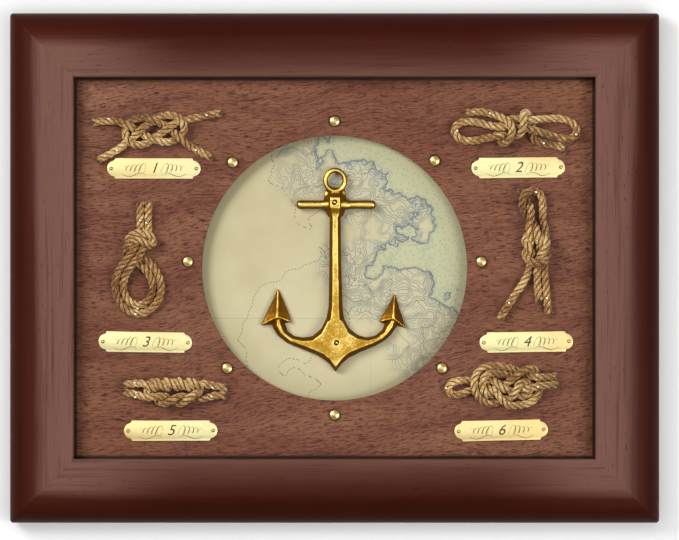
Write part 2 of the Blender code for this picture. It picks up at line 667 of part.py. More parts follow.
def make_anchor_nails():
    for word, (across, up), face in zip(("hub", "crown"), nail_places, nail_faces):
        seat = anchor_back + face - nail_sink + seat_gap
        reach = seat - backing_front + nail_bite - seat_gap
        profile = domed_profile(nail_head, nail_height, nail_shank, reach, 2)
        place = at(across, seat, up)
        placed(f"anchor_nail_{word}", turned("anchor_nail", profile, 10), polished_brass(), location=place)


def smooth_route(points):
    """A smooth curve through a route's own points, finely divided."""
    p = np.array(points, float)
    p = np.vstack([2 * p[0] - p[1], p, 2 * p[-1] - p[-2]])
    run = []
    t = np.linspace(0, 1, 12, endpoint=False)[:, None]
    for k in range(1, len(p) - 2):
        before, start, end, after = p[k - 1 : k + 3]
        lead, span, follow = (np.linalg.norm(v[:2]) + 1e-9 for v in (start - before, end - start, after - end))
        slope_in = ((start - before) / lead * span + (end - start) / span * lead) / (lead + span) * span
        slope_out = ((end - start) / span * follow + (after - end) / follow * span) / (span + follow) * span
        run.append(
            (2 * t**3 - 3 * t**2 + 1) * start + (t**3 - 2 * t**2 + t) * slope_in
            + (3 * t**2 - 2 * t**3) * end + (t**3 - t**2) * slope_out
        )
    run.append(p[-2][None])
    return np.vstack(run)


def evenly(points, step):
    """The same run with its points a step apart."""
    along = np.concatenate([[0], np.cumsum(np.linalg.norm(np.diff(points, axis=0), axis=1))])
    places = np.linspace(0, along[-1], max(2, int(round(along[-1] / step)) + 1))
    return np.stack([np.interp(places, along, points[:, k]) for k in range(3)], 1)


def settled(routes, rounds=260):
    """Draws a knot tight: its runs press apart to the rope's spacing, bend as little as they can,
    stay near their routes and lie down on the panel. Points are (across, up, depth)."""
    ropes = []
    for route in routes:
        run = smooth_route(route)
        run[:, 2] = rope_floor + run[:, 2] * rope_spacing
        ropes.append(evenly(run, rope_step))
    home = np.vstack(ropes)
    first = np.cumsum([0] + [len(rope) for rope in ropes])
    inner = np.ones(len(home), bool)
    inner[first[:-1]] = False
    inner[first[1:] - 1] = False
    inner = np.nonzero(inner)[0]
    start, share, free = between_points(ropes)
    share = share[:, None]
    p = home.copy()
    for turn in range(rounds):
        easing = turn < rounds * 0.7
        bend = np.zeros_like(p)
        bend[inner] = (p[inner - 1] + p[inner + 1]) / 2 - p[inner]
        p += bend * (0.12 if easing else 0.02)
        p[:, :2] += (home[:, :2] - p[:, :2]) * (0.06 if easing else 0.003)
        if easing:
            p[:, 2] -= (p[:, 2] - rope_floor) * 0.02
        for _ in range(3):
            fine = p[start] * (1 - share) + p[start + 1] * share
            between = fine[:, None] - fine[None]
            far = np.sqrt((between**2).sum(2))
            i, j = np.nonzero((far < rope_spacing) & free)
            if not len(i):
                break
            push = between[i, j] / np.maximum(far[i, j], 1e-9)[:, None]
            push *= ((rope_spacing - far[i, j]) * 0.5)[:, None]
            move = np.zeros_like(p)
            weight = np.full(len(p), 1e-9)
            for side, way in ((i, 1), (j, -1)):
                for end, part in ((start[side], 1 - share[side]), (start[side] + 1, share[side])):
                    np.add.at(move, end, way * push * part)
                    np.add.at(weight, end, part[:, 0])
            p += move / weight[:, None] * 1.3
            p[:, 2] = np.maximum(p[:, 2], rope_floor)
    fine = p[start] * (1 - share) + p[start + 1] * share
    far = np.sqrt(((fine[:, None] - fine[None]) ** 2).sum(2))
    return [p[a:b] for a, b in zip(first[:-1], first[1:])], far[free].min() - rope_diameter


def between_points(ropes, divisions=3):
    """Samples along each run as (point before, share of the way to the next), and which pairs of
    them can press on each other: those on two ropes, or far enough apart along one."""
    start, share, which, along = [], [], [], []
    count = 0
    for number, rope in enumerate(ropes):
        for k in range(len(rope) - 1):
            for part in range(divisions):
                start.append(count + k)
                share.append(part / divisions)
                which.append(number)
                along.append((k + part / divisions) * rope_step)
        count += len(rope)
    which = np.array(which)
    along = np.array(along)
    apart = np.abs(along[:, None] - along[None]) > 1.9 * rope_spacing
    free = np.triu((which[:, None] != which[None]) | apart, 1)
    return np.array(start), np.array(share), free


def doubled(centre):
    """The two parts of a doubled rope, side by side along a centre route in millimetres."""
    p = np.array(centre, float)
    ahead = np.gradient(p[:, :2], axis=0)
    ahead /= np.linalg.norm(ahead, axis=1)[:, None]
    aside = np.stack([-ahead[:, 1], ahead[:, 0]], 1) * rope_spacing / mm / 2
    one, other = p.copy(), p.copy()
    one[:, :2] += aside
    other[:, :2] -= aside
    return one.tolist(), other.tolist()


def twisted(start, end, height, bow, halves, lead):
    """Two parts twisted round each other for a number of half turns."""
    one, other = [], []
    for k in range(2 * halves + 1):
        share = k / (2 * halves)
        across = start + (end - start) * share
        middle = height + 4 * bow * share * (1 - share)
        swing = twist_swing * math.cos(math.pi * k / 2)
        layer = 0.5 * math.sin(math.pi * k / 2) * lead
        one.append((across, middle - swing, 0.5 + layer))
        other.append((across, middle + swing, 0.5 - layer))
    return one, other


def knot_routes():
    lower_one, lower_other = twisted(*surgeon_lower_twist, 1)
    upper_one, upper_other = twisted(*surgeon_upper_twist, -1)
    left = surgeon_left + lower_one + surgeon_left_turn + upper_other[::-1] + surgeon_left_end
    right = surgeon_right + lower_other[::-1] + surgeon_right_turn + upper_one + surgeon_right_end
    near, far = doubled(eight_centre)
    return {
        "carrick_bend": {"left": carrick_left, "right": carrick_right},
        "sheepshank": {"": sheepshank_route},
        "bowline": {"": bowline_route},
        "reef_knot": {"upper": reef_upper, "lower": reef_lower},
        "surgeons_knot": {"left": left, "right": right},
        "figure_eight": {"": near + eight_loop + far[::-1]},
    }


def tube(name, points, radius, sides, closed=False):
    curve = bpy.data.curves.new(name, "CURVE")
    curve.dimensions = "3D"
    curve.bevel_depth = radius
    curve.bevel_resolution = sides // 2 - 2
    curve.use_fill_caps = True
    spline = curve.splines.new("POLY")
    spline.points.add(len(points) - 1)
    for place, point in zip(spline.points, points):
        place.co = (*point, 1.0)
    spline.use_cyclic_u = closed
    return curve


def make_ropes():
    for knot, parts in knot_routes().items():
        middle = np.array([*knot_places[knot], 0.0])
        routes = [np.array(route, float) * (mm, mm, 1) + middle for route in parts.values()]
        ropes, gap = settled(routes)
        print(f"{knot}: least gap {gap / mm:.2f} mm")
        for word, rope in zip(parts, ropes):
            name = f"{knot}_{word}_rope" if word else f"{knot}_rope"
            points = [at(across, depth, up) for across, up, depth in rope]
            placed(name, tube(name, points, rope_diameter / 2, 6), jute_rope())


def screw_mesh():
    rim = screw_height * 0.45
    profile = [
        (0.0, screw_height), (screw_head * 0.6, screw_height * 0.92), (screw_head, rim),
        (screw_head, 0.0), (screw_shank, 0.0), (screw_shank, -screw_length + 2 * screw_shank),
        (0.0, -screw_length),
    ]
    mesh = turned("screw", [(radius, -forward) for radius, forward in profile], 12)
    return mesh


# Hardware on the back stands behind the wall plane, at a depth below nought
hanger_across = frame_width / 2 - back_face / 2
eye_radius = ring_wire + eye_clearance
eye_behind = seat_gap + strap_sheet + eye_radius
hanger_screw_drop = 0.0095
button_across = frame_width / 2 - back_face + (button_length - button_reach - button_width / 2)


def make_hangers():
    steps = 14
    outline = [(-strap_length, seat_gap)]
    for k in range(steps + 1):
        angle = math.radians(-90 + k * 290 / steps)
        wide = eye_radius + strap_sheet
        outline.append((wide * math.cos(angle), eye_behind + wide * math.sin(angle)))
    for k in range(steps + 1):
        angle = math.radians(200 - k * 290 / steps)
        outline.append((eye_radius * math.cos(angle), eye_behind + eye_radius * math.sin(angle)))
    outline.append((-strap_length, seat_gap + strap_sheet))
    points = [(-strap_width / 2, behind, up) for up, behind in outline]
    blank = placed("strap_blank", extruded("strap_blank", points, (strap_width, 0, 0)), plated_steel())
    screw_bore = screw_shank + bore_clearance
    tool = bores("strap_bore", [(0, -hanger_screw_drop)], screw_bore, 0.0, -2 * strap_sheet - seat_gap)
    add_boolean(blank, tool)
    strap = finished_mesh(blank, "hanger_strap", 30)
    bpy.data.objects.remove(blank)
    bpy.data.objects.remove(tool)
    wide = ring_width / 2
    ring = [(-wide + ring_width * k / 4, 0, 0) for k in range(4)]
    ring += [(wide, 0, 0), (wide, 0, ring_side)]
    for k in range(1, 12):
        angle = math.pi * k / 12
        ring.append((wide * math.cos(angle), 0, ring_side + wide * math.sin(angle)))
    ring.append((-wide, 0, ring_side))
    screw = screw_mesh()
    for side, word in ((-1, "left"), (1, "right")):
        foot = (side * hanger_across, 0.0, hanger_up)
        placed(f"{word}_hanger_strap", strap, plated_steel(), location=foot)
        axis = (side * hanger_across, eye_behind, hanger_up)
        loop = tube("hanging_ring", ring, ring_wire, 8, closed=True)
        placed(f"{word}_hanging_ring", loop, plated_steel(), location=axis)
        seat = (side * hanger_across, 2 * seat_gap + strap_sheet, hanger_up - hanger_screw_drop)
        placed(f"{word}_hanger_screw", screw, plated_steel(), location=seat)


def make_buttons():
    end = button_width / 2
    run = button_length - button_width
    outline = []
    for k in range(9):
        angle = math.pi * k / 8
        outline.append((end * math.cos(angle), 0.0, end * math.sin(angle)))
    for k in range(9):
        angle = math.pi + math.pi * k / 8
        outline.append((end * math.cos(angle), 0.0, -run + end * math.sin(angle)))
    blank = placed("button_blank", extruded("button_blank", outline, (0, button_sheet, 0)), plated_steel())
    screw_bore = screw_shank + bore_clearance
    tool = bores("button_bore", [(0, 0)], screw_bore, seat_gap, -button_sheet - seat_gap)
    add_boolean(blank, tool)
    button = finished_mesh(blank, "turn_button")
    bpy.data.objects.remove(blank)
    bpy.data.objects.remove(tool)
    screw = screw_mesh()
    for side, word in ((1, "top"), (-1, "bottom")):
        for way, hand in ((-1, "left"), (1, "right")):
            pivot = (way * button_across, seat_gap, side * button_up)
            name = f"{word}_{hand}_turn_button"
            inward = (0.0, way * math.pi / 2, 0.0)
            placed(name, button, plated_steel(), location=pivot, turn=inward)
            seat = (way * button_across, 2 * seat_gap + button_sheet, side * button_up)
            placed(f"{word}_{hand}_button_screw", screw, plated_steel(), location=seat)


make_frame()
make_layers()
make_tacks()
make_plates()
make_anchor()
make_anchor_nails()
make_ropes()
make_hangers()
make_buttons()
bpy.context.view_layer.update()
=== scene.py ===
import math

import bmesh
import bpy
import numpy as np
from mathutils import Matrix, Vector


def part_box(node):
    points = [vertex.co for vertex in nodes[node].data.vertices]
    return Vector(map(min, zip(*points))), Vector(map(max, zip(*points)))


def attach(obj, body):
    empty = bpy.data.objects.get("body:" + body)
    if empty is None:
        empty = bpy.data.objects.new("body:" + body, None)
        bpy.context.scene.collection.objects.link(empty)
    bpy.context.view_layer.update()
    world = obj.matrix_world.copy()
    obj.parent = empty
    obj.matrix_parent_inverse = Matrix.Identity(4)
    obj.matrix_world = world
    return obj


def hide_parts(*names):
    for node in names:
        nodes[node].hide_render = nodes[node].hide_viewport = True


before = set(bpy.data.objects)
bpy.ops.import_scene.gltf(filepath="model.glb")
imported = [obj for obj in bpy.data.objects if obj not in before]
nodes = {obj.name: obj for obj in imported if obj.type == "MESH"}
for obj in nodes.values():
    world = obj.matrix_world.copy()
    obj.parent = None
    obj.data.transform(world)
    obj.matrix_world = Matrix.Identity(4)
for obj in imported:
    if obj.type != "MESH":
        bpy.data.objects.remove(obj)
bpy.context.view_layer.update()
mm = 0.001

# the board's middle lies below the origin, which is the middle of the top rail's back;
# depth is the distance in front of the wall, as in the part
board = {
    "middle": -0.1402,
    "width": 0.400,
    "height": 0.314,
    "panelFront": 0.0137,
    "chartFront": 0.0074,
    "gap": 0.0003,
}


def at(across, depth, up):
    return Vector((across, -depth, up + board["middle"]))


class Socket:
    # a shader value: sums written with it are wired up as they are used
    def __init__(self, owner, output):
        self.owner = owner
        self.output = output

    def maths(self, operation, other=0.0, swapped=False):
        values = {0: other, 1: self} if swapped else {0: self, 1: other}
        return self.owner.node("ShaderNodeMath", {"operation": operation}, values)

    def __add__(self, other):
        return self.maths("ADD", other)

    def __sub__(self, other):
        return self.maths("SUBTRACT", other)

    def __rsub__(self, other):
        return self.maths("SUBTRACT", other, True)

    def __mul__(self, other):
        return self.maths("MULTIPLY", other)

    def __truediv__(self, other):
        return self.maths("DIVIDE", other)

    def __pow__(self, other):
        return self.maths("POWER", other)

    def __abs__(self):
        return self.maths("ABSOLUTE")

    __radd__ = __add__
    __rmul__ = __mul__

    def least(self, other):
        return self.maths("MINIMUM", other)


class Nodes:
    # the nodes of the world or of a material, and the patterns that they draw
    def __init__(self, tree, space):
        self.tree = tree
        self.coords = self.node("ShaderNodeTexCoord", output=space)

    def node(self, kind, settings=None, values=None, output=0):
        made = self.tree.nodes.new(kind)
        for name, setting in (settings or {}).items():
            if name == "stops":
                ramp = made.color_ramp
                while len(ramp.elements) < len(setting):
                    ramp.elements.new(0.5)
                for element, (place, colour) in zip(ramp.elements, setting):
                    element.position = place
                    element.color = (*colour, 1.0)
            else:
                setattr(made, name, setting)
        for name, value in (values or {}).items():
            if isinstance(value, Socket):
                self.tree.links.new(value.output, made.inputs[name])
            else:
                made.inputs[name].default_value = value
        return Socket(self, made.outputs[output])

    def split(self, vector):
        made = self.node("ShaderNodeSeparateXYZ", None, {0: vector}).output.node
        return [Socket(self, output) for output in made.outputs]

    def combine(self, x=0.0, y=0.0, z=0.0):
        return self.node("ShaderNodeCombineXYZ", None, {0: x, 1: y, 2: z})

    def mapped(self, scale, location=(0, 0, 0), vector=None):
        scale = scale if isinstance(scale, tuple) else (scale, scale, scale)
        values = {0: vector or self.coords, "Location": location, "Scale": scale}
        return self.node("ShaderNodeMapping", None, values)

    def noise(self, place, detail=2.0, roughness=0.5, distortion=0.0):
        # place is a vector, or only the scale on the object's own coordinates
        values = {
            "Vector": place if isinstance(place, Socket) else self.mapped(place),
            "Scale": 1.0, "Detail": detail, "Roughness": roughness, "Distortion": distortion,
        }
        return self.node("ShaderNodeTexNoise", None, values, "Fac")

    def between(self, value, low, high, newLow=0.0, newHigh=1.0):
        values = {"Value": value, 1: low, 2: high, 3: newLow, 4: newHigh}
        return self.node("ShaderNodeMapRange", {"interpolation_type": "SMOOTHSTEP"}, values)

    def ramp(self, value, stops):
        return self.node("ShaderNodeValToRGB", {"stops": stops}, {0: value}, "Color")

    def mix(self, share, one, other):
        one, other = ((*colour, 1.0) if isinstance(colour, tuple) else colour for colour in (one, other))
        return self.node("ShaderNodeMix", {"data_type": "RGBA"}, {0: share, 6: one, 7: other}, 2)

    def attribute(self, name):
        return self.node("ShaderNodeAttribute", {"attribute_name": name}, None, "Fac")

    def rays(self, *kinds):
        return [self.node("ShaderNodeLightPath", output=f"Is {kind} Ray") for kind in kinds]


class Finish(Nodes):
    # a material; the values are constants on its shader's own sockets
    def __init__(self, name, values):
        self.material = bpy.data.materials.new(name)
        self.material.use_nodes = True
        super().__init__(self.material.node_tree, "Object")
        self.shader = self.tree.nodes["Principled BSDF"]
        for socket, value in {"IOR": 1.5, **values}.items():
            self.shader.inputs[socket].default_value = value

    def finished(self, colour, roughness, bump, depth, metallic=None):
        relief = self.node("ShaderNodeBump", None, {"Height": bump, "Distance": depth, "Strength": 1.0})
        made = {"Base Color": colour, "Roughness": roughness, "Metallic": metallic, "Normal": relief}
        for name, value in made.items():
            if value:
                self.tree.links.new(value.output, self.shader.inputs[name])
        return self.material


def srgb(*levels):
    shares = [level / 255 for level in levels]
    return tuple(
        ((share + 0.055) / 1.055) ** 2.4 if level > 10 else share / 12.92
        for level, share in zip(levels, shares)
    )


def placed(name, data):
    obj = bpy.data.objects.new(name, data)
    bpy.context.scene.collection.objects.link(obj)
    return obj


def piece(name, mesh, material, body, replaces=(), smoothAngle=None):
    mesh.materials.clear()
    mesh.materials.append(material)
    if smoothAngle:
        mesh.shade_smooth()
        mesh.set_sharp_from_angle(angle=math.radians(smoothAngle))
    obj = placed(name, mesh)
    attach(obj, body)
    if replaces:
        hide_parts(*replaces)


def meshFrom(bm, name):
    mesh = bpy.data.meshes.new(name)
    bm.to_mesh(mesh)
    bm.free()
    return mesh


def finishedMesh(obj):
    # the mesh that an object's modifiers or letters give
    bpy.context.view_layer.update()
    graph = bpy.context.evaluated_depsgraph_get()
    return bpy.data.meshes.new_from_object(obj.evaluated_get(graph))


def outward(bm, merge=1e-7):
    bmesh.ops.remove_doubles(bm, verts=bm.verts, dist=merge)
    bmesh.ops.recalc_face_normals(bm, faces=bm.faces)


def setDown(bm, place, turn=None):
    if turn:
        bmesh.ops.transform(bm, matrix=turn, verts=bm.verts)
    bmesh.ops.translate(bm, vec=place, verts=bm.verts)


def softEdges(bm, edges, width, segments=2):
    bmesh.ops.bevel(
        bm, geom=edges, offset=width, segments=segments, profile=0.5, affect="EDGES", material=-1,
        clamp_overlap=True,
    )


def sharpEdges(bm, angle):
    joined = [edge for edge in bm.edges if len(edge.link_faces) == 2]
    return [edge for edge in joined if edge.calc_face_angle(0) > math.radians(angle)]


def arc(across, up, radius, start, end, steps):
    turns = [start + (end - start) * k / steps for k in range(steps + 1)]
    return [(across + radius * math.cos(turn), up + radius * math.sin(turn)) for turn in turns]


def dome(radius, low, high, steps):
    # a profile from the top of a dome down to its rim
    turns = [k * math.pi / 2 / steps for k in range(steps + 1)]
    return [(radius * math.sin(turn), low + (high - low) * math.cos(turn)) for turn in turns]


def turned(profile, steps):
    # a profile of (radius, forward), spun about the axis that looks out of the board
    bm = bmesh.new()
    verts = [bm.verts.new((radius, -forward, 0)) for radius, forward in profile]
    edges = [bm.edges.new(pair) for pair in zip(verts, verts[1:])]
    bmesh.ops.spin(
        bm, geom=verts + edges, cent=(0, 0, 0), axis=(0, 1, 0), dvec=(0, 0, 0),
        angle=2 * math.pi, steps=steps, use_merge=True,
    )
    outward(bm, 1e-6)
    rim = bm.verts.layers.float.new("rim")
    reach = max(radius for radius, forward in profile)
    for vert in bm.verts:
        vert[rim] = math.hypot(vert.co.x, vert.co.z) / reach
    return bm


def thickened(bm, thickness):
    # gives a flat sheet its thickness
    moved = bmesh.ops.extrude_face_region(bm, geom=list(bm.faces))["geom"]
    verts = [item for item in moved if isinstance(item, bmesh.types.BMVert)]
    bmesh.ops.translate(bm, vec=(0, thickness, 0), verts=verts)
    outward(bm)


def swept(bm, sections, joined=False):
    # extrudes the first section through all the others, with a cap at both ends. A joined one
    # has no caps, and its last section lies on the first
    caps = [bm.faces.new([bm.verts.new(spot) for spot in sections[0]])]
    for section in sections[1:]:
        moved = bmesh.ops.extrude_face_region(bm, geom=caps[-1:])["geom"]
        caps.append(next(item for item in moved if isinstance(item, bmesh.types.BMFace)))
        for vert, spot in zip(caps[-1].verts, section):
            vert.co = spot
    bmesh.ops.delete(bm, geom=caps if joined else caps[1:-1], context="FACES_ONLY")


view = {
    "distance": 6.0,
    "pixels": 679,  # the picture's width
    "pixel": 0.0006163,  # metres of board in one pixel of the picture
    "sensor": 36.0,
    "across": 0.0030,
    "up": -0.0012,
    "depth": 0.006,
}


def makeCamera():
    camera = bpy.data.cameras.new("camera")
    camera.sensor_width = view["sensor"]
    camera.lens = view["sensor"] * view["distance"] / (view["pixels"] * view["pixel"])
    camera.clip_end = 50
    obj = placed("camera", camera)
    obj.location = at(view["across"], view["depth"] + view["distance"], view["up"])
    obj.rotation_euler = (math.pi / 2, 0, 0)
    bpy.context.scene.camera = obj


lighting = {
    "lamps": {  # place, size, watts
        "front": ((-0.05, 2.6, 0.15), 1.9, 12.5),
        "left": ((-1.60, 1.8, 1.00), 1.1, 54),
        "right": ((1.60, 1.8, -0.60), 1.1, 32),
        "back": ((0.40, -2.2, 0.60), 1.8, 46),
    },
    "world": 0.09,
    "mirrored": 0.45,  # how white the room at the sides looks in metal
    "darkAhead": (-0.95, -0.45),  # how straight ahead a ray goes where the white fades
    "wallReach": 1.5,
    "wallBehind": 0.0052,
    "wallGlow": 0.45,
    "wallShade": 0.014,  # how far from the board its shade reaches
}


def makeLights():
    for name, (place, size, watts) in lighting["lamps"].items():
        light = bpy.data.lights.new(name, "AREA")
        light.size = size
        light.energy = watts
        obj = placed(name, light)
        obj.visible_camera = False
        obj.location = at(*place)
        aim = at(0, 0.01, 0) - obj.location
        obj.rotation_euler = aim.to_track_quat("-Z", "Y").to_euler()
    bpy.context.scene.view_settings.view_transform = "Standard"


def makeWorld():
    # dim light all round that looks white. Metal mirrors that too, except straight in front of
    # the board, where the room is dark
    world = bpy.data.worlds.new("studio")
    world.use_nodes = True
    studio = Nodes(world.node_tree, "Generated")
    camera, glossy, through = studio.rays("Camera", "Glossy", "Transmission")
    around = studio.between(studio.split(studio.coords)[1], *lighting["darkAhead"])
    white = (camera + (glossy + through) * around * lighting["mirrored"]).least(1.0)
    strength = white * (1 - lighting["world"]) + lighting["world"]
    background = world.node_tree.nodes["Background"]
    background.inputs["Color"].default_value = (1, 1, 1, 1)
    world.node_tree.links.new(strength.output, background.inputs["Strength"])
    bpy.context.scene.world = world


def makeWall():
    bm = bmesh.new()
    bmesh.ops.create_grid(bm, x_segments=1, y_segments=1, size=lighting["wallReach"])
    setDown(bm, at(0, -lighting["wallBehind"], 0), Matrix.Rotation(math.pi / 2, 4, "X"))
    wall = placed("wall", meshFrom(bm, "wall"))
    paint = Finish("wall paint", {"Base Color": (0.96, 0.965, 0.97, 1), "Roughness": 0.95})
    camera, glossy, through = paint.rays("Camera", "Glossy", "Transmission")
    seen = (camera + glossy + through).least(1.0) * lighting["wallGlow"]
    glow = paint.node("ShaderNodeEmission", None, {"Color": (1, 1, 1, 1), "Strength": 1.0})
    # close to the board the frame keeps the white room's light off the wall
    reach = {"Distance": lighting["wallShade"]}
    free = paint.node("ShaderNodeAmbientOcclusion", {"samples": 24}, reach, "AO")
    glow = paint.node("ShaderNodeMixShader", None, {0: free, 2: glow})
    body = Socket(paint, paint.shader.outputs[0])
    mixed = paint.node("ShaderNodeMixShader", None, {0: seen, 1: body, 2: glow})
    # the board's back can be seen and lit through the wall
    back = paint.node("ShaderNodeNewGeometry", output="Backfacing")
    clear = paint.node("ShaderNodeBsdfTransparent")
    mixed = paint.node("ShaderNodeMixShader", None, {0: back, 1: mixed, 2: clear})
    paint.tree.links.new(mixed.output, paint.tree.nodes["Material Output"].inputs["Surface"])
    wall.visible_shadow = False
    wall.data.materials.append(paint.material)


frameLook = {
    # the stain from the outer edge in to the lip, with a painted sheen of the front light on the flat band:
    # share of the width, then colour
    "upright": (
        (0.0, srgb(54, 10, 2)), (0.16, srgb(56, 13, 4)), (0.34, srgb(70, 28, 18)),
        (0.54, srgb(114, 77, 67)), (1.0, srgb(120, 84, 74)),
    ),
    # the top and bottom rails: the same stain with less painted sheen than the side rails
    "across": (
        (0.0, srgb(52, 12, 3)), (0.32, srgb(55, 15, 6)), (0.55, srgb(72, 32, 23)),
        (0.8, srgb(88, 52, 43)), (1.0, srgb(108, 71, 61)),
    ),
    "streak": srgb(48, 18, 11),
    "pit": srgb(26, 10, 6),
    "back": srgb(132, 92, 62),  # thin stain on bare wood
    "backDark": srgb(84, 50, 32),
    "width": 0.0396,
}


def frameWood(name, along):
    # the grain runs with the rail, across or upright
    kit = frameLook
    wood = Finish(name, {"Roughness": 0.4, "IOR": 1.15})
    x, y, z = wood.split(wood.coords)
    if along == "across":
        inward = board["height"] / 2 - abs(z - board["middle"])
    else:
        inward = board["width"] / 2 - abs(x)

    def grain(long, wide, detail, distortion=0.0):
        scale = (long, wide, wide) if along == "across" else (wide, wide, long)
        return wood.noise(scale, detail, 0.6, distortion)

    broad = grain(3, 48, 3.0, 0.3)
    streak = grain(8, 290, 3.0, 0.2)
    fine = grain(44, 1300, 2.0)
    pit = grain(190, 1250, 1.0)
    share = inward / kit["width"] + (broad - 0.5) * 0.30 + (streak - 0.5) * 0.16
    colour = wood.ramp(share, kit["upright"])
    if along == "across":
        # darker along its middle than towards the mitres: less painted sheen there, and the side rails'
        # colour towards the mitres
        middle = wood.between(abs(x), 0.170, 0.085)
        colour = wood.mix(middle, colour, wood.ramp(share, kit["across"]))
    colour = wood.mix(wood.between(streak, 0.50, 0.72) * 0.40, colour, kit["streak"])
    colour = wood.mix(wood.between(fine, 0.52, 0.74) * 0.30, colour, kit["streak"])
    pits = wood.between(pit, 0.69, 0.76)
    colour = wood.mix(pits * 0.7, colour, kit["pit"])
    plain = wood.between(streak * 0.6 + broad * 0.4, 0.38, 0.60)
    behind = wood.between(y, -0.0010, -0.0004)
    colour = wood.mix(behind, colour, wood.mix(plain, kit["back"], kit["backDark"]))
    roughness = 0.40 + fine * 0.10 + broad * 0.06 + behind * 0.3
    return wood.finished(colour, roughness, fine * 0.5 + streak * 0.4 - pits * 0.5, 0.00012)


panelLook = {
    "light": srgb(144, 96, 68),
    "middle": srgb(131, 82, 56),
    "red": srgb(120, 70, 49),
    "dark": srgb(102, 54, 35),
    "pore": srgb(52, 17, 7),
    # the painted shadow of the lip on the panel
    "lipShade": srgb(26, 9, 4),
    "lean": 7.0,  # degrees
    "lip": 0.0396,
}


def panelWood():
    # short dark pores in lines that lean a little and wander
    kit = panelLook
    wood = Finish("mahogany veneer", {"Roughness": 0.55, "IOR": 1.36})
    x, y, z = wood.split(wood.coords)
    up = z - board["middle"]
    lean = math.radians(kit["lean"])
    wander = wood.noise((14, 14, 22))
    ripple = wood.noise((110, 110, 160), 1.0)
    along = x * math.cos(lean) + up * math.sin(lean)
    over = up * math.cos(lean) - x * math.sin(lean) + (wander - 0.5) * 0.022 + (ripple - 0.5) * 0.0010

    def grain(long, wide, detail, shift=0.0):
        return wood.noise(wood.combine(along * long + shift, 0.0, over * wide), detail, 0.55)

    broad = grain(8, 60, 3.0)
    streak = grain(60, 700, 2.0, 3.0)
    line = grain(150, 1350, 2.0, 7.0)
    pore = grain(330, 2300, 1.0, 11.0)
    vein = grain(20, 560, 1.0, 17.0)
    colour = wood.ramp(broad * 0.62 + streak * 0.38, [
        (0.36, kit["dark"]), (0.45, kit["red"]), (0.54, kit["middle"]), (0.66, kit["light"]),
    ])
    lines = wood.between(line, 0.49, 0.64) * 0.62
    pores = wood.between(pore, 0.50, 0.64) * 0.42
    veins = wood.between(vein, 0.68, 0.74) * 0.6
    marks = (lines + pores + veins).least(0.92)
    colour = wood.mix(marks, colour, kit["pore"])
    # painted shade: a dark band on the panel in the corner under the lip, where the lip's shadow falls
    wide = board["width"] / 2 - kit["lip"]
    high = board["height"] / 2 - kit["lip"]
    inset = (wide - abs(x)).least(high - abs(up))
    colour = wood.mix(wood.between(inset, 0.0012, 0.0026, 0.88, 0.0), colour, kit["lipShade"])
    relief = streak * 0.3 - marks * 0.6 + broad * 0.1
    return wood.finished(colour, 0.48 + marks * 0.22, relief, 0.00022)


backLook = {"light": srgb(186, 156, 116), "dark": srgb(146, 112, 76)}


def backingWood():
    wood = Finish("bare plywood", {"Roughness": 0.8})
    wander = wood.noise((6, 6, 3))
    x, y, z = wood.split(wood.coords)
    bent = wood.combine(x + (wander - 0.5) * 0.05, y, z)
    broad = wood.noise(wood.mapped((70, 70, 3), vector=bent), 3.0, 0.6)
    fine = wood.noise(wood.mapped((900, 900, 22), vector=bent), 2.0, 0.6)
    colour = wood.ramp(broad * 0.4 + fine * 0.6, [(0.36, backLook["dark"]), (0.60, backLook["light"])])
    return wood.finished(colour, 0.74 + fine * 0.15, fine, 0.00015)


chartLook = {
    "paper": srgb(205, 195, 157),
    "aged": srgb(192, 180, 140),
    # painted shade near the window's edge
    "rim": srgb(160, 152, 112),
    "water": srgb(190, 192, 150),
    "ink": srgb(70, 84, 98),
    "wash": srgb(146, 164, 164),
}


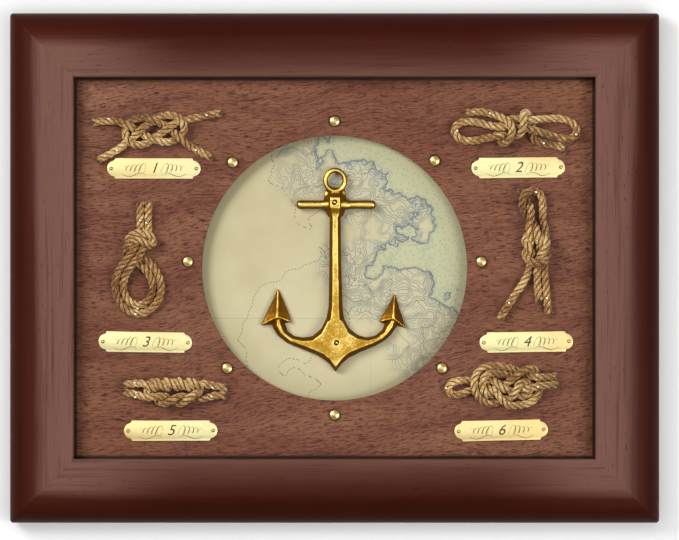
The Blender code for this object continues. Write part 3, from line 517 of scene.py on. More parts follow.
def chartPaper():
    # a made-up coast with hills, a stream, tracks and soundings. All measures are millimetres
    kit = chartLook
    paper = Finish("chart paper", {"Roughness": 0.82})
    x, y, z = paper.split(paper.coords)
    across = x * 1000.0
    up = (z - board["middle"]) * 1000.0

    def field(scale, shiftX, shiftUp, detail, leanX=0.0, leanUp=0.0):
        # a noise on a slant, at three places: here, a little across and a little up
        step = 0.12
        found = []
        for moveX, moveUp in ((0, 0), (step, 0), (0, step)):
            placeX = across + moveX
            placeUp = up + moveUp
            spot = paper.combine((placeX + shiftX) * scale, 0.0, (placeUp + shiftUp) * scale)
            found.append(paper.noise(spot, detail) + placeX * leanX + placeUp * leanUp)
        here, right, above = found
        return here, ((right - here) ** 2.0 + (above - here) ** 2.0).maths("SQRT") / step

    def drawn(away, width):
        return paper.between(away, width * 0.4, width, 1.0, 0.0)

    def contours(ground, count, width):
        here, slope = ground
        away = abs((here * count).maths("FRACT") - 0.5) / (slope * count + 0.004)
        return drawn(away, width)

    def level(ground, value, width):
        here, slope = ground
        return drawn(abs(here - value) / (slope + 0.0006), width)

    # the plain side of the chart gives way to hills, a shore and open water
    coast = field(0.030, 31.0, 12.0, 5.0, 0.0052, 0.0030)
    relief = field(0.050, 11.0, 70.0, 2.2)
    river = field(0.014, 210.0, 93.0, 5.0)
    road = field(0.010, 77.0, 141.0, 4.0)
    sea, hills = coast[0], relief[0]
    region = paper.noise(paper.mapped((24, 1, 24), (5, 0, 3)))
    busy = paper.between(across * 0.8 + up * 0.45 + (region - 0.5) * 150.0, -8.0, 16.0)
    wet = paper.between(sea, 0.787, 0.797)
    land = 1.0 - wet
    hilly = busy * land * paper.between(hills, 0.36, 0.48)
    lines = contours(relief, 30.0, 0.36) * hilly
    shore = level(coast, 0.79, 0.34)
    shelf = level(coast, 0.807, 0.22) + level(coast, 0.83, 0.16)
    cliff = paper.between(sea, 0.73, 0.79) * land
    hatch = contours(coast, 110.0, 0.32) * paper.between(sea, 0.745, 0.79) * land
    stream = level(river, 0.47, 0.24) * paper.between(busy, 0.1, 0.6) * land
    dash = paper.between(((across * 0.8 + up * 0.75) * 3.4).maths("SINE"), -0.2, 0.3)
    track = level(road, 0.52, 0.34) * dash * land
    lane = level(road, 0.44, 0.20) * land * paper.between(busy, 0.0, 0.5)
    dots = paper.node(
        "ShaderNodeTexVoronoi", {"feature": "F1", "voronoi_dimensions": "2D"},
        {"Vector": paper.combine(across, up), "Scale": 0.30, "Randomness": 0.9}, "Distance",
    )
    rings = paper.between(abs(dots - 0.09), 0.02, 0.045, 1.0, 0.0)
    soundings = rings * paper.between(sea, 0.825, 0.845)
    ruled = paper.between(abs(up + 31.0), 0.05, 0.16, 0.6, 0.0)
    ruled = ruled + paper.between(abs(across - 22.0), 0.05, 0.16, 0.35, 0.0)
    ink = lines * 0.66 + shore + shelf * 0.6 + hatch * 0.6 + stream * 0.9 + track + lane * 0.8
    ink = (ink + soundings * 0.7 + ruled).least(1.0)
    blotch = paper.noise(14, 4.0, 0.6)
    mottle = paper.noise(70, 3.0, 0.6)
    fibres = paper.noise(1500)
    radius = (across * across + up * up).maths("SQRT")
    colour = paper.mix(paper.between(blotch, 0.35, 0.7), kit["paper"], kit["aged"])
    colour = paper.mix(wet * 0.75, colour, kit["water"])
    wash = (hilly * 0.16 + cliff * 0.42 + wet * mottle * 0.22).least(0.7)
    colour = paper.mix(wash, colour, kit["wash"])
    # painted shade: darker towards the window's edge, where the panel shades the chart
    colour = paper.mix(paper.between(radius, 60.0, 84.0) * 0.55, colour, kit["rim"])
    colour = paper.mix(ink * 0.78, colour, kit["ink"])
    return paper.finished(colour, 0.78 + fibres * 0.1, fibres, 0.00003)


brassLook = {
    # colour, roughness, scale of the scratches, dulled patches, where a dark rim of tarnish and painted
    # shade starts
    "tack brass": (srgb(224, 196, 128), 0.20, 500, 0.25, 0.74),
    "plate brass": (srgb(248, 238, 176), 0.26, (60, 500, 900), 0.12, 0.8),
    "pin brass": (srgb(240, 218, 150), 0.24, 500, 0.25, 0.42),
    "cord pin": (srgb(250, 240, 214), 0.25, 500, 0.25, 0.72),
    "warm": srgb(250, 220, 150),  # the redder end of a sheet
    "tarnishAndShade": srgb(52, 34, 12),
}


def brass(name, sheet=False):
    # a turned head goes dark round its rim: partly tarnish, where a cloth doesn't reach, and partly painted
    # shade, the dark edge of a polished dome
    colour, roughness, scratch, dull, rimStart = brassLook[name]
    metal = Finish(name, {"Roughness": roughness, "Metallic": 1.0})
    marks = metal.noise(scratch, 3.0, 0.6)
    cloud = metal.noise(60, 3.0, 0.6)
    dulled = tuple(level * 0.72 for level in colour)
    tint = metal.mix(metal.between(cloud, 0.4, 0.75) * dull, colour, dulled)
    if sheet:
        broad = metal.noise(metal.mapped((17, 17, 9), (2, 0, 6)), 1.0)
        tint = metal.mix(metal.between(broad, 0.44, 0.62), tint, brassLook["warm"])
    rim = metal.attribute("rim")
    # tarnish and painted shade round the rim
    tint = metal.mix(metal.between(rim, rimStart, rimStart + 0.2) * 0.88, tint, brassLook["tarnishAndShade"])
    return metal.finished(tint, roughness + marks * 0.10 + cloud * 0.05 + rim * 0.12, marks, 0.00002)


castLook = {
    # from the tarnish in the hollows to the rubbed edges and the painted highlight on faces that look
    # forward
    "shine": (
        (0.08, srgb(94, 57, 3)), (0.36, srgb(122, 80, 9)), (0.60, srgb(172, 126, 36)),
        (0.78, srgb(206, 162, 62)), (0.91, srgb(252, 222, 124)),
    ),
    "pit": srgb(78, 46, 10),
    "shank": (-0.162, -0.142),  # the heights between which the shank's brightening sets in
}


def castBrass():
    metal = Finish("cast brass", {"Roughness": 0.5, "Metallic": 1.0, "Specular IOR Level": 0.15})
    # rubbed edges and bulges, with a painted highlight on faces that look forward
    worn = metal.attribute("worn")
    grit = metal.noise(700, 3.0, 0.65)
    cloud = metal.noise(120, 4.0, 0.65)
    pits = metal.between(metal.noise(1500, 1.0), 0.64, 0.72)
    pits = pits * metal.between(metal.noise(metal.mapped(95, (3, 0, 0))), 0.42, 0.60)
    # the shank is painted a little brighter than the crown
    brightening = metal.between(metal.split(metal.coords)[2], *castLook["shank"]) * 0.11
    shine = worn + brightening + (cloud - 0.5) * 0.75 + (grit - 0.5) * 0.45
    colour = metal.mix(pits * 0.8, metal.ramp(shine, castLook["shine"]), castLook["pit"])
    roughness = metal.between(shine, 0.1, 0.8, 0.52, 0.33)
    # tarnish in the hollows is partly a dull film
    metallic = metal.between(shine, 0.05, 0.55, 0.45, 1.0)
    relief = grit * 0.5 - pits * 0.7 + cloud * 0.3
    return metal.finished(colour, roughness + grit * 0.08, relief, 0.00016, metallic)


steelLook = {"dark": srgb(150, 152, 150), "light": srgb(196, 196, 190)}


def platedSteel():
    metal = Finish("zinc plate", {"Roughness": 0.5, "Metallic": 1.0})
    marks = metal.noise((700, 700, 120), 3.0, 0.6)
    cloud = metal.noise(120, 3.0, 0.6)
    colour = metal.ramp(cloud, [(0.3, steelLook["dark"]), (0.7, steelLook["light"])])
    return metal.finished(colour, 0.30 + marks * 0.14 + cloud * 0.06, marks, 0.00002)


inkLook = {"dark": srgb(34, 26, 14), "light": srgb(70, 54, 26)}


def plateInk():
    ink = Finish("engraved black", {"Roughness": 0.55})
    grain = ink.noise(2500)
    colour = ink.mix(grain, inkLook["dark"], inkLook["light"])
    return ink.finished(colour, 0.5 + grain * 0.2, grain, 0.00002)


ropeKit = {
    "spacing": 0.0049,  # between the middles of two runs that touch
    "diameter": 0.0049,
    "floor": 0.0162,  # depth of the middle of a run that lies on the panel
    "step": 0.0027,
    "fineStep": 0.0005,
    "lay": 0.0128,  # length of one full turn of a strand
    "sides": 14,
    "strand": 0.46,  # of the rope's radius
    "flare": (0.16, 0.0016),  # how much the strands open at an end, and how far in
    "endShade": (0.75, 0.0007),
    "uneven": ((0.035, 0.0043, 2.1), (0.02, 0.0019, 1.0)),  # size, length and shift of two waves
    "yarns": 7,  # in a strand
    "bright": srgb(250, 222, 158),
    "light": srgb(212, 166, 100),
    "middle": srgb(160, 109, 54),
    "dark": srgb(88, 50, 18),
    # painted shade in the grooves; the cut ends are darkened with it too
    "groove": srgb(62, 34, 12),
}
fibreKit = {
    "steps": 5,
    "taper": 0.6,
    # stray fibres along a cord
    "perMillimetre": 1.5,
    "inward": 0.3,  # one that points further towards the panel than this isn't made
    "root": 0.93,  # of the cord's radius
    "along": (0.5, 1),
    "out": (0.15, 0.9),
    "length": (2.0, 0.00055),  # shape and scale of a gamma spread
    "radius": 0.000022,
    "bow": 0.7,
    # fibres at a cut end
    "endCount": 46,
    "endSpread": 1.02,
    "endLean": (0.15, 0.35),
    "endRoot": 0.0006,
    "endLength": (0.0008, 0.0021),
    "endRadius": 0.00004,
    "endBow": 0.5,
}
twistReach = 2.1  # millimetres from the middle of two runs wound round each other
knotPlaces = {
    "carrick_bend": (-0.1113, 0.0825),
    "sheepshank": (0.1110, 0.0860),
    "bowline": (-0.1200, 0.0070),
    "reef_knot": (0.1180, 0.0180),
    "surgeons_knot": (-0.1010, -0.0760),
    "figure_eight": (0.0960, -0.0710),
}
# each cord's route: millimetres across and up from its knot's place, and the layer it passes in
carrickLeft = [
    (-38, 7, 0), (-27.5, 8.5, 0), (-20.5, 7.5, 0.5), (-16, 5, 1), (-10.5, 0.5, 0),
    (-5.5, -1.5, 0.4), (-0.5, -3, 1), (5, -5, 0.5), (10.5, -5.5, 0), (15.5, -2.5, 0),
    (19.5, 1.5, 0.5), (20, 5.5, 1), (17.5, 8.5, 1), (12.5, 11, 0.5), (7, 12, 0),
    (3.5, 11, 0), (-0.5, 8.5, 0), (-4.5, 5.5, 0.5), (-10.5, 0.5, 1), (-13, -1.5, 0.6),
    (-15.5, -4, 0), (-20.5, -9, 0), (-28, -13, 0), (-35, -16.5, 0),
]
carrickRight = [
    (41.5, 13, 0), (32.5, 11.5, 0), (23.5, 9.5, 0), (17.5, 8.5, 0), (13, 6.5, 0.5),
    (10, 4.5, 1), (5, 0.5, 0.4), (-0.5, -3, 0), (-4, -6, 0.2), (-8, -8, 0.4),
    (-12.5, -7, 0.7), (-15.5, -4, 1), (-17.5, -1, 0.6), (-18, 2, 0.2), (-16, 5, 0),
    (-13.5, 8.5, 0.2), (-9.5, 10.5, 0.5), (-4.5, 10.5, 0.8), (-0.5, 8.5, 1), (5, 6.5, 0.5),
    (10, 4.5, 0), (12.5, 1.5, 0.4), (15.5, -2.5, 1), (21, -6.5, 0.5), (26, -10, 0),
    (36, -14.5, 0),
]
sheepshank = [
    (-31, 9, 0), (-23.5, 11, 0), (-16, 9.5, 0), (-10, 7, 0.6), (-5, 4.5, 1.6),
    (-2.5, 1, 2.1), (-3, -3.5, 2.1), (-6.5, -7, 1.4), (-9, -9, 0.4), (-10.5, -7, 0),
    (-7.5, -1, 0), (-4.5, 5.5, 0.2), (0.5, 7, 0.6), (6.5, 6, 0.8), (12.5, 5.5, 0.6),
    (18, 5.5, 0.3), (26, 6.5, 0), (34.5, 4.5, 0), (40, -0.5, 0), (39, -5, 0),
    (33.5, -7.5, 0), (26, -6, 0.2), (18, -3, 0.6), (11, -1, 1), (4.5, 0.5, 1.1),
    (-2, 1, 1), (-8.5, 0.5, 0.9), (-15.5, 1.5, 0.4), (-21, 3, 0), (-28.5, 5, 0),
    (-35.5, 4, 0), (-39.5, -1, 0), (-36.5, -6, 0), (-29, -8.5, 0), (-21, -7, 0.3),
    (-13, -5, 0.7), (-7.5, -4.5, 0.9), (-1, -4.5, 1), (4, -4.5, 1.2), (7.5, -1.5, 1.9),
    (8, 3, 2.1), (6.5, 7, 1.8), (5, 9, 0.9), (7, 8, 0.1), (8.5, 3, 0), (8, -2, 0),
    (8.5, -6, 0), (12.5, -8.5, 0), (18, -9.5, 0), (25, -10, 0), (31, -12, 0),
]
bowline = [
    (1, 33.5, 0), (1, 26.5, 0), (0.5, 20, 0.1), (1, 15, 1), (0, 10.5, 1.1), (-3, 5.5, 1.1),
    (-7.5, 0, 0.8), (-11.5, -6, 0.2), (-14.5, -12.5, 0), (-15.5, -19.5, 0), (-13, -27.5, 0),
    (-7.5, -33.5, 0), (0, -36, 0), (7, -33, 0), (12.5, -26.5, 0), (13.5, -19, 0),
    (12, -13, 0), (8.5, -7.5, 0), (4.5, -3.5, 0), (0, 0, 0), (-5, 2.5, 0), (-8.5, 7, 0.2),
    (-7.5, 11.5, 1.3), (-3, 14.5, 2), (2, 15, 2.1), (6, 13.5, 1.9), (9.5, 9.5, 1.2),
    (8.5, 5.5, 1.5), (5, 5.5, 2), (1, 9, 2.2), (-3, 10, 2), (-6.5, 6, 0.9), (-4, 1.5, 0),
    (0.5, -2.5, 0), (4.5, -6.5, 0), (8, -11.5, 0), (9.5, -17.5, 0), (8, -23.5, 0),
    (4, -29.5, 0), (-0.5, -31.5, 0), (-6, -29.5, 0), (-10, -24.5, 0), (-11, -18.5, 0),
    (-9.5, -12.5, 0), (-6.5, -6.5, 0.3), (-2.5, -1, 1), (1.5, 4.5, 1.1), (4, 10, 1.1),
    (5, 15, 1), (5, 20.5, 0.2), (5, 26.5, 0), (5, 33.5, 0),
]
reefUpper = [
    (-3.5, 31, 0), (-1.5, 24.5, 0), (1, 18.5, 0.1), (3, 12, 0.6), (4, 6, 1.1), (4, 0, 2),
    (2.5, -4.5, 1.7), (0, -8, 1), (1, -12, 1.1), (5, -15, 2), (10, -14, 2),
    (12.5, -10, 1.2), (10.5, -6, 1.2), (8, -2.5, 1.9), (6.5, 3, 2), (4.5, 8.5, 1),
    (2, 13, 0.3), (-1, 19, 0.1), (-2.5, 24.5, 0.1), (-1, 29, 0.9), (3.5, 31, 0.7),
    (8, 30, 0.2), (10.5, 25.5, 0), (10.5, 19, 0), (9, 12, 0), (8.5, 5, 0), (7.5, -1.5, 0),
    (7.5, -8.5, 0), (8.5, -15, 0), (10.5, -21, 0), (12, -27, 0), (12, -34, 0),
    (12.5, -41, 0), (14, -47, 0),
]
reefLower = [
    (-16.5, -49.5, 0), (-13, -43.5, 0), (-8.5, -37, 0), (-4, -30, 0), (0.5, -23.5, 0),
    (3, -18, 0.2), (4.5, -14, 0.9), (4.5, -10, 1.4), (2, -6, 2.2), (0, -1.5, 1.6),
    (1, 1.5, 1), (5.5, 3.5, 1), (10.5, 2, 1.1), (12, -2.5, 1.6), (10.5, -7, 2.1),
    (8, -11.5, 1.3), (7, -16.5, 0.8), (7, -22.5, 0.1), (7, -30, 0), (8.5, -38.5, 0),
]
eightCentre = [  # between the two parts of the doubled rope
    (41, 2, 0), (34, 1.5, 0), (28, 1, 0.6), (24, 0.5, 1), (17.5, 2.5, 0.4), (12, 5, 0),
    (6.5, 7.5, 0), (0.5, 8.5, 0), (-5.5, 7, 0.4), (-8.5, 2.5, 0.9), (-8.5, -1.5, 1),
    (-6.5, -6, 0.8), (-1, -8.5, 0.2), (5, -8, 0.1), (10.5, -4.5, 0.5), (14.5, 0, 1),
    (18.5, 3.5, 1), (23.5, 4.5, 0.6), (27.5, 2, 0), (28, -3.5, 0), (24.5, -8.5, 0),
    (17.5, -10.5, 0.1), (11.5, -8.5, 0.4), (7.5, -5, 1.1), (3, -1.5, 1.1),
    (-2.5, -0.5, 0.9), (-6.5, -0.5, 0), (-10, -1, 0),
]
eightLoop = [
    (-13.5, -4.5, 0), (-17.5, -7, 0), (-23, -8.5, 0), (-27.5, -6, 0), (-28, -2, 0),
    (-24.5, 1.5, 0), (-19.5, 2.5, 0), (-14, 2, 0),
]
surgeonLeft = [(-29.5, 0, 0), (-23.5, -0.5, 0), (-18.5, -2, 0.1)]
surgeonLeftTurn = [(20, -1.5, 0.4), (20.5, 2, 0.5)]
surgeonLeftEnd = [(-19, 5.5, 0.2), (-24, 5, 0), (-29, 4, 0)]
surgeonRight = [(34, -2, 0), (29, -1.5, 0), (24.5, -2.5, 0), (20, -4, 0.2)]
surgeonRightTurn = [(-17.5, 0, 0.5), (-17.5, 1, 0.6)]
surgeonRightEnd = [(22, 4, 0.3), (28, 3, 0), (35, 2, 0)]
# how a knot is drawn tight; pairs are for the early and the late rounds
settling = {
    "rounds": 260,
    "early": 0.7,  # share of the rounds
    "straighten": (0.12, 0.02),
    "homeward": (0.06, 0.003),
    "sink": 0.02,
    "divisions": 3,  # places looked at between two points
    "presses": 3,
    "press": 1.3,
    "ownReach": 1.9,  # spacings along a cord within which it can't press on itself
}


def lengths(points):
    return np.concatenate([[0], np.cumsum(np.linalg.norm(np.diff(points, axis=0), axis=1))])


def evenly(points, step):
    along = lengths(points)
    places = np.linspace(0, along[-1], max(2, int(round(along[-1] / step)) + 1))
    return np.stack([np.interp(places, along, points[:, k]) for k in range(3)], 1)


def withEnds(points):
    return np.vstack([2 * points[0] - points[1], points, 2 * points[-1] - points[-2]])


def flatLength(way):
    return np.linalg.norm(way[:2]) + 1e-9


def smoothRun(points, steps, measure):
    # a smooth run through the points. Measure says how long the way between two of them counts
    p = withEnds(points)
    t = np.linspace(0, 1, steps, endpoint=False)[:, None]
    run = []
    for k in range(1, len(p) - 2):
        start, end = p[k], p[k + 1]
        come, cross, leave = start - p[k - 1], end - start, p[k + 2] - end
        lead, span, follow = measure(come), measure(cross), measure(leave)
        slopeIn = (come / lead * span + cross / span * lead) / (lead + span) * span
        slopeOut = (cross / span * follow + leave / follow * span) / (span + follow) * span
        run.append(
            (2 * t**3 - 3 * t**2 + 1) * start + (t**3 - 2 * t**2 + t) * slopeIn
            + (3 * t**2 - 2 * t**3) * end + (t**3 - t**2) * slopeOut
        )
    run.append(p[-2][None])
    return np.vstack(run)


def betweenPoints(ropes):
    # places between the points of all the cords, and which of them may press on each other
    divisions = settling["divisions"]
    start, share, which, along = [], [], [], []
    count = 0
    for number, rope in enumerate(ropes):
        for k in range(len(rope) - 1):
            for part in range(divisions):
                start.append(count + k)
                share.append(part / divisions)
                which.append(number)
                along.append((k + part / divisions) * ropeKit["step"])
        count += len(rope)
    which = np.array(which)
    along = np.array(along)
    apart = np.abs(along[:, None] - along[None]) > settling["ownReach"] * ropeKit["spacing"]
    free = np.triu((which[:, None] != which[None]) | apart, 1)
    return np.array(start), np.array(share)[:, None], free


def pressedApart(p, start, share, free):
    # one round of pushing runs that are too close away from each other
    spacing = ropeKit["spacing"]
    fine = p[start] * (1 - share) + p[start + 1] * share
    between = fine[:, None] - fine[None]
    far = np.sqrt((between**2).sum(2))
    i, j = np.nonzero((far < spacing) & free)
    if not len(i):
        return False
    push = between[i, j] / np.maximum(far[i, j], 1e-9)[:, None]
    push *= ((spacing - far[i, j]) * 0.5)[:, None]
    move = np.zeros_like(p)
    weight = np.full(len(p), 1e-9)
    for side, way in ((i, 1), (j, -1)):
        for end, part in ((start[side], 1 - share[side]), (start[side] + 1, share[side])):
            np.add.at(move, end, way * push * part)
            np.add.at(weight, end, part[:, 0])
    p += move / weight[:, None] * settling["press"]
    p[:, 2] = np.maximum(p[:, 2], ropeKit["floor"])
    return True


def settled(routes):
    # draws a knot tight in the same way as the part does, so the cords lie where its tubes lie
    kit = settling
    floor = ropeKit["floor"]
    ropes = []
    for route in routes:
        run = smoothRun(route, 12, flatLength)
        run[:, 2] = floor + run[:, 2] * ropeKit["spacing"]
        ropes.append(evenly(run, ropeKit["step"]))
    home = np.vstack(ropes)
    first = np.cumsum([0] + [len(rope) for rope in ropes])
    inner = np.ones(len(home), bool)
    inner[first[:-1]] = False
    inner[first[1:] - 1] = False
    inner = np.nonzero(inner)[0]
    start, share, free = betweenPoints(ropes)
    p = home.copy()
    for turn in range(kit["rounds"]):
        late = turn >= kit["rounds"] * kit["early"]
        bend = np.zeros_like(p)
        bend[inner] = (p[inner - 1] + p[inner + 1]) / 2 - p[inner]
        p += bend * kit["straighten"][late]
        p[:, :2] += (home[:, :2] - p[:, :2]) * kit["homeward"][late]
        if not late:
            p[:, 2] -= (p[:, 2] - floor) * kit["sink"]
        for press in range(kit["presses"]):
            if not pressedApart(p, start, share, free):
                break
    return [p[a:b] for a, b in zip(first[:-1], first[1:])]


def doubled(centre):
    p = np.array(centre, float)
    ahead = np.gradient(p[:, :2], axis=0)
    ahead /= np.linalg.norm(ahead, axis=1)[:, None]
    aside = np.stack([-ahead[:, 1], ahead[:, 0]], 1) * ropeKit["spacing"] / mm / 2
    one, other = p.copy(), p.copy()
    one[:, :2] += aside
    other[:, :2] -= aside
    return one.tolist(), other.tolist()


def twisted(start, end, height, bow, halves, lead):
    # two runs wound round each other
    one, other = [], []
    for k in range(2 * halves + 1):
        share = k / (2 * halves)
        across = start + (end - start) * share
        middle = height + 4 * bow * share * (1 - share)
        swing = twistReach * math.cos(math.pi * k / 2)
        layer = 0.5 * math.sin(math.pi * k / 2) * lead
        one.append((across, middle - swing, 0.5 + layer))
        other.append((across, middle + swing, 0.5 - layer))
    return one, other


def knotRoutes():
    lowerOne, lowerOther = twisted(-14, 16, -1.5, -4.0, 3, 1)
    upperOne, upperOther = twisted(-14, 16.5, 3.5, 0.9, 5, -1)
    left = surgeonLeft + lowerOne + surgeonLeftTurn + upperOther[::-1] + surgeonLeftEnd
    right = surgeonRight + lowerOther[::-1] + surgeonRightTurn + upperOne + surgeonRightEnd
    near, far = doubled(eightCentre)
    return {
        "carrick_bend": {"left": carrickLeft, "right": carrickRight},
        "sheepshank": {"": sheepshank},
        "bowline": {"": bowline},
        "reef_knot": {"upper": reefUpper, "lower": reefLower},
        "surgeons_knot": {"left": left, "right": right},
        "figure_eight": {"": near + eightLoop + far[::-1]},
    }


def settledRopes():
    found = {}
    for knot, parts in knotRoutes().items():
        middle = np.array([*knotPlaces[knot], 0.0])
        routes = [np.array(route, float) * (mm, mm, 1) + middle for route in parts.values()]
        for word, rope in zip(parts, settled(routes)):
            found[f"{knot}_{word}_rope" if word else f"{knot}_rope"] = rope
    return found


def smoothLine(points, step):
    # rounds the corners of a settled run and spaces its points evenly
    p = points.copy()
    for turn in range(2):
        p[1:-1] = p[1:-1] * 0.6 + (p[:-2] + p[2:]) * 0.2
    return evenly(smoothRun(p, 10, lambda way: 1.0), step)


def unit(ways):
    return ways / np.linalg.norm(ways, axis=1)[:, None]


def carried(line):
    # directions along the line, and two across it that turn as little as they can
    ahead = unit(np.gradient(line, axis=0))
    side = np.zeros_like(line)
    side[0] = np.cross(ahead[0], (0, 1, 0))
    if np.linalg.norm(side[0]) < 0.2:
        side[0] = np.cross(ahead[0], (1, 0, 0))
    side[0] /= np.linalg.norm(side[0])
    for k in range(1, len(line)):
        kept = side[k - 1] - ahead[k] * np.dot(side[k - 1], ahead[k])
        side[k] = kept / np.linalg.norm(kept)
    return ahead, side, np.cross(ahead, side)


def spoke(turn, side, other):
    # the direction out from a cord's middle at an angle round it
    return np.cos(turn) * side + np.sin(turn) * other


class Tubes:
    # gathers tubes into one mesh, each with its own map: round the tube, and along it in millimetres
    def __init__(self):
        self.points = []
        self.quads = []
        self.maps = []
        self.caps = []
        self.shades = []
        self.grooves = []
        self.count = 0

    def add(self, line, radii, side, other, sides, slant=0.0, shade=None):
        rows = len(line)
        turn = np.arange(sides) / sides * 2 * math.pi
        ring = spoke(turn[None, :, None], side[:, None], other[:, None])
        radii = np.broadcast_to(np.asarray(radii, float).reshape(-1, 1), (rows, sides))
        self.points.append((line[:, None] + ring * radii[..., None]).reshape(-1, 3))
        i, j = np.meshgrid(np.arange(rows - 1), np.arange(sides), indexing="ij")
        along = lengths(line) / mm
        quads, maps = [], []
        for row, place in ((i, j), (i, j + 1), (i + 1, j + 1), (i + 1, j)):
            quads.append(row * sides + place % sides)
            maps.append(np.stack([place / sides + along[row] * slant, along[row]], -1))
        self.quads.append(np.stack(quads, -1).reshape(-1, 4) + self.count)
        self.maps.append(np.stack(maps, -2).reshape(-1, 4, 2))
        self.caps.append(self.count + np.arange(sides)[::-1])
        self.caps.append(self.count + (rows - 1) * sides + np.arange(sides))
        # the first side of a strand faces the middle of the rope, where it is in the dark
        groove = np.zeros(sides) if shade is None else (1 + np.cos(turn)) / 2
        self.grooves.append(np.tile(groove, rows))
        self.shades.append(np.repeat(np.zeros(rows) if shade is None else shade, sides))
        self.count += rows * sides

    def mesh(self, name):
        mesh = bpy.data.meshes.new(name)
        points = np.vstack(self.points)
        quads = np.vstack(self.quads)
        capLoops = np.concatenate(self.caps)
        sizes = np.concatenate([np.full(len(quads), 4), [len(cap) for cap in self.caps]])
        mesh.vertices.add(len(points))
        mesh.vertices.foreach_set("co", points.ravel())
        mesh.loops.add(int(sizes.sum()))
        mesh.loops.foreach_set("vertex_index", np.concatenate([quads.ravel(), capLoops]))
        mesh.polygons.add(len(sizes))
        mesh.polygons.foreach_set("loop_start", np.concatenate([[0], np.cumsum(sizes)[:-1]]))
        mesh.update(calc_edges=True)
        capMaps = np.full((len(capLoops), 2), 0.5)
        maps = np.concatenate([np.vstack(self.maps).reshape(-1, 2), capMaps])
        mesh.uv_layers.new(name="along").uv.foreach_set("vector", maps.ravel())
        for word, values in (("end", self.shades), ("groove", self.grooves)):
            mesh.attributes.new(word, "FLOAT", "POINT").data.foreach_set("value", np.concatenate(values))
        mesh.validate()
        mesh.shade_smooth()
        return mesh


def jute():
    kit = ropeKit
    rope = Finish("jute", {
        "Roughness": 0.9, "Specular IOR Level": 0.25, "Sheen Weight": 0.25, "Sheen Roughness": 0.5,
    })
    around, along = rope.split(rope.node("ShaderNodeUVMap", {"uv_map": "along"}))[:2]
    yarns = (around * (2 * math.pi * kit["yarns"])).maths("SINE") * 0.5 + 0.5
    hair = rope.noise(rope.combine(around * 30.0, along * 0.50, 0.0), 3.0, 0.65, 0.4)
    patch = rope.noise(420, 3.0, 0.65)
    broad = rope.noise(55)
    tone = hair * 0.52 + yarns * 0.10 + patch * 0.38 + (broad - 0.5) * 0.40
    colour = rope.ramp(tone, [
        (0.38, kit["dark"]), (0.47, kit["middle"]), (0.55, kit["light"]), (0.63, kit["bright"]),
    ])
    # painted shade in the grooves between the strands
    sunk = rope.between(rope.attribute("groove") + (patch - 0.5) * 0.8, 0.22, 0.66) * 0.90
    colour = rope.mix(sunk, colour, kit["groove"])
    colour = rope.mix(rope.attribute("end"), colour, kit["groove"])
    return rope.finished(colour, 0.82 + hair * 0.1, yarns * 0.35 + hair * 0.65, 0.0003)


def fibre(tubes, rng, root, way, length, radius, bow):
    t = np.linspace(0, 1, fibreKit["steps"])[:, None]
    swing = np.cross(way, rng.normal(size=3))
    swing /= np.linalg.norm(swing) + 1e-9
    line = root + way * length * t + swing * bow * length * (t**2)
    side, other = carried(line)[1:]
    tubes.add(line, radius * (1 - fibreKit["taper"] * t[:, 0]), side, other, 3)


def layStrands(tubes, rng, line, side, other):
    kit = ropeKit
    outer = kit["diameter"] / 2
    strand = outer * kit["strand"]
    reach = outer - strand
    lean = math.atan(2 * math.pi * reach / kit["lay"])
    slant = math.sin(lean) / (2 * math.pi * strand) * mm
    along = lengths(line)
    near = np.minimum(along, along[-1] - along)
    flare, dark = (size * np.exp(-near / far) for size, far in (kit["flare"], kit["endShade"]))
    phase = rng.random() * 2 * math.pi
    (sway, swayLength, swayShift), (ripple, rippleLength, rippleShift) = kit["uneven"]
    for k in range(3):
        turn = phase + 2 * math.pi * (k / 3 + along / kit["lay"])
        out = spoke(turn[:, None], side, other)
        wander = (
            1 + sway * np.sin(along / swayLength + k * swayShift + phase)
            + ripple * np.sin(along / rippleLength + k * rippleShift)
        )
        run = line + out * (reach * (1 + flare) * wander)[:, None]
        # the strands are cut at different places
        start, end = rng.integers(0, 3, 2)
        kept = slice(start, len(run) - end)
        onward = unit(np.gradient(run[kept], axis=0))
        out = out[kept]
        out = unit(out - onward * (out * onward).sum(1)[:, None])
        radii = strand * wander[kept]
        tubes.add(run[kept], radii, -out, -np.cross(onward, out), kit["sides"], slant, dark[kept])


def strayFibres(tubes, rng, line, ahead, side, other):
    kit = fibreKit
    root = ropeKit["diameter"] / 2 * kit["root"]
    for number in range(int(lengths(line)[-1] / mm * kit["perMillimetre"])):
        k = rng.integers(2, len(line) - 2)
        out = spoke(rng.random() * 2 * math.pi, side[k], other[k])
        if out[1] > kit["inward"]:
            continue
        way = ahead[k] * rng.choice([-1, 1]) * rng.uniform(*kit["along"]) + out * rng.uniform(*kit["out"])
        way /= np.linalg.norm(way)
        length = rng.gamma(*kit["length"])
        fibre(tubes, rng, line[k] + out * root, way, length, kit["radius"], rng.uniform(0, kit["bow"]))


def frayedEnds(tubes, rng, line, ahead, side, other):
    kit = fibreKit
    outer = ropeKit["diameter"] / 2
    for start, way in ((0, -1), (len(line) - 1, 1)):
        for number in range(kit["endCount"]):
            spread = math.sqrt(rng.random()) * outer * kit["endSpread"]
            out = spoke(rng.random() * 2 * math.pi, side[start], other[start])
            aim = ahead[start] * way + out * rng.normal(*kit["endLean"])
            aim /= np.linalg.norm(aim)
            root = line[start] + out * spread - ahead[start] * way * kit["endRoot"]
            length = rng.uniform(*kit["endLength"])
            fibre(tubes, rng, root, aim, length, kit["endRadius"], rng.uniform(0, kit["endBow"]))


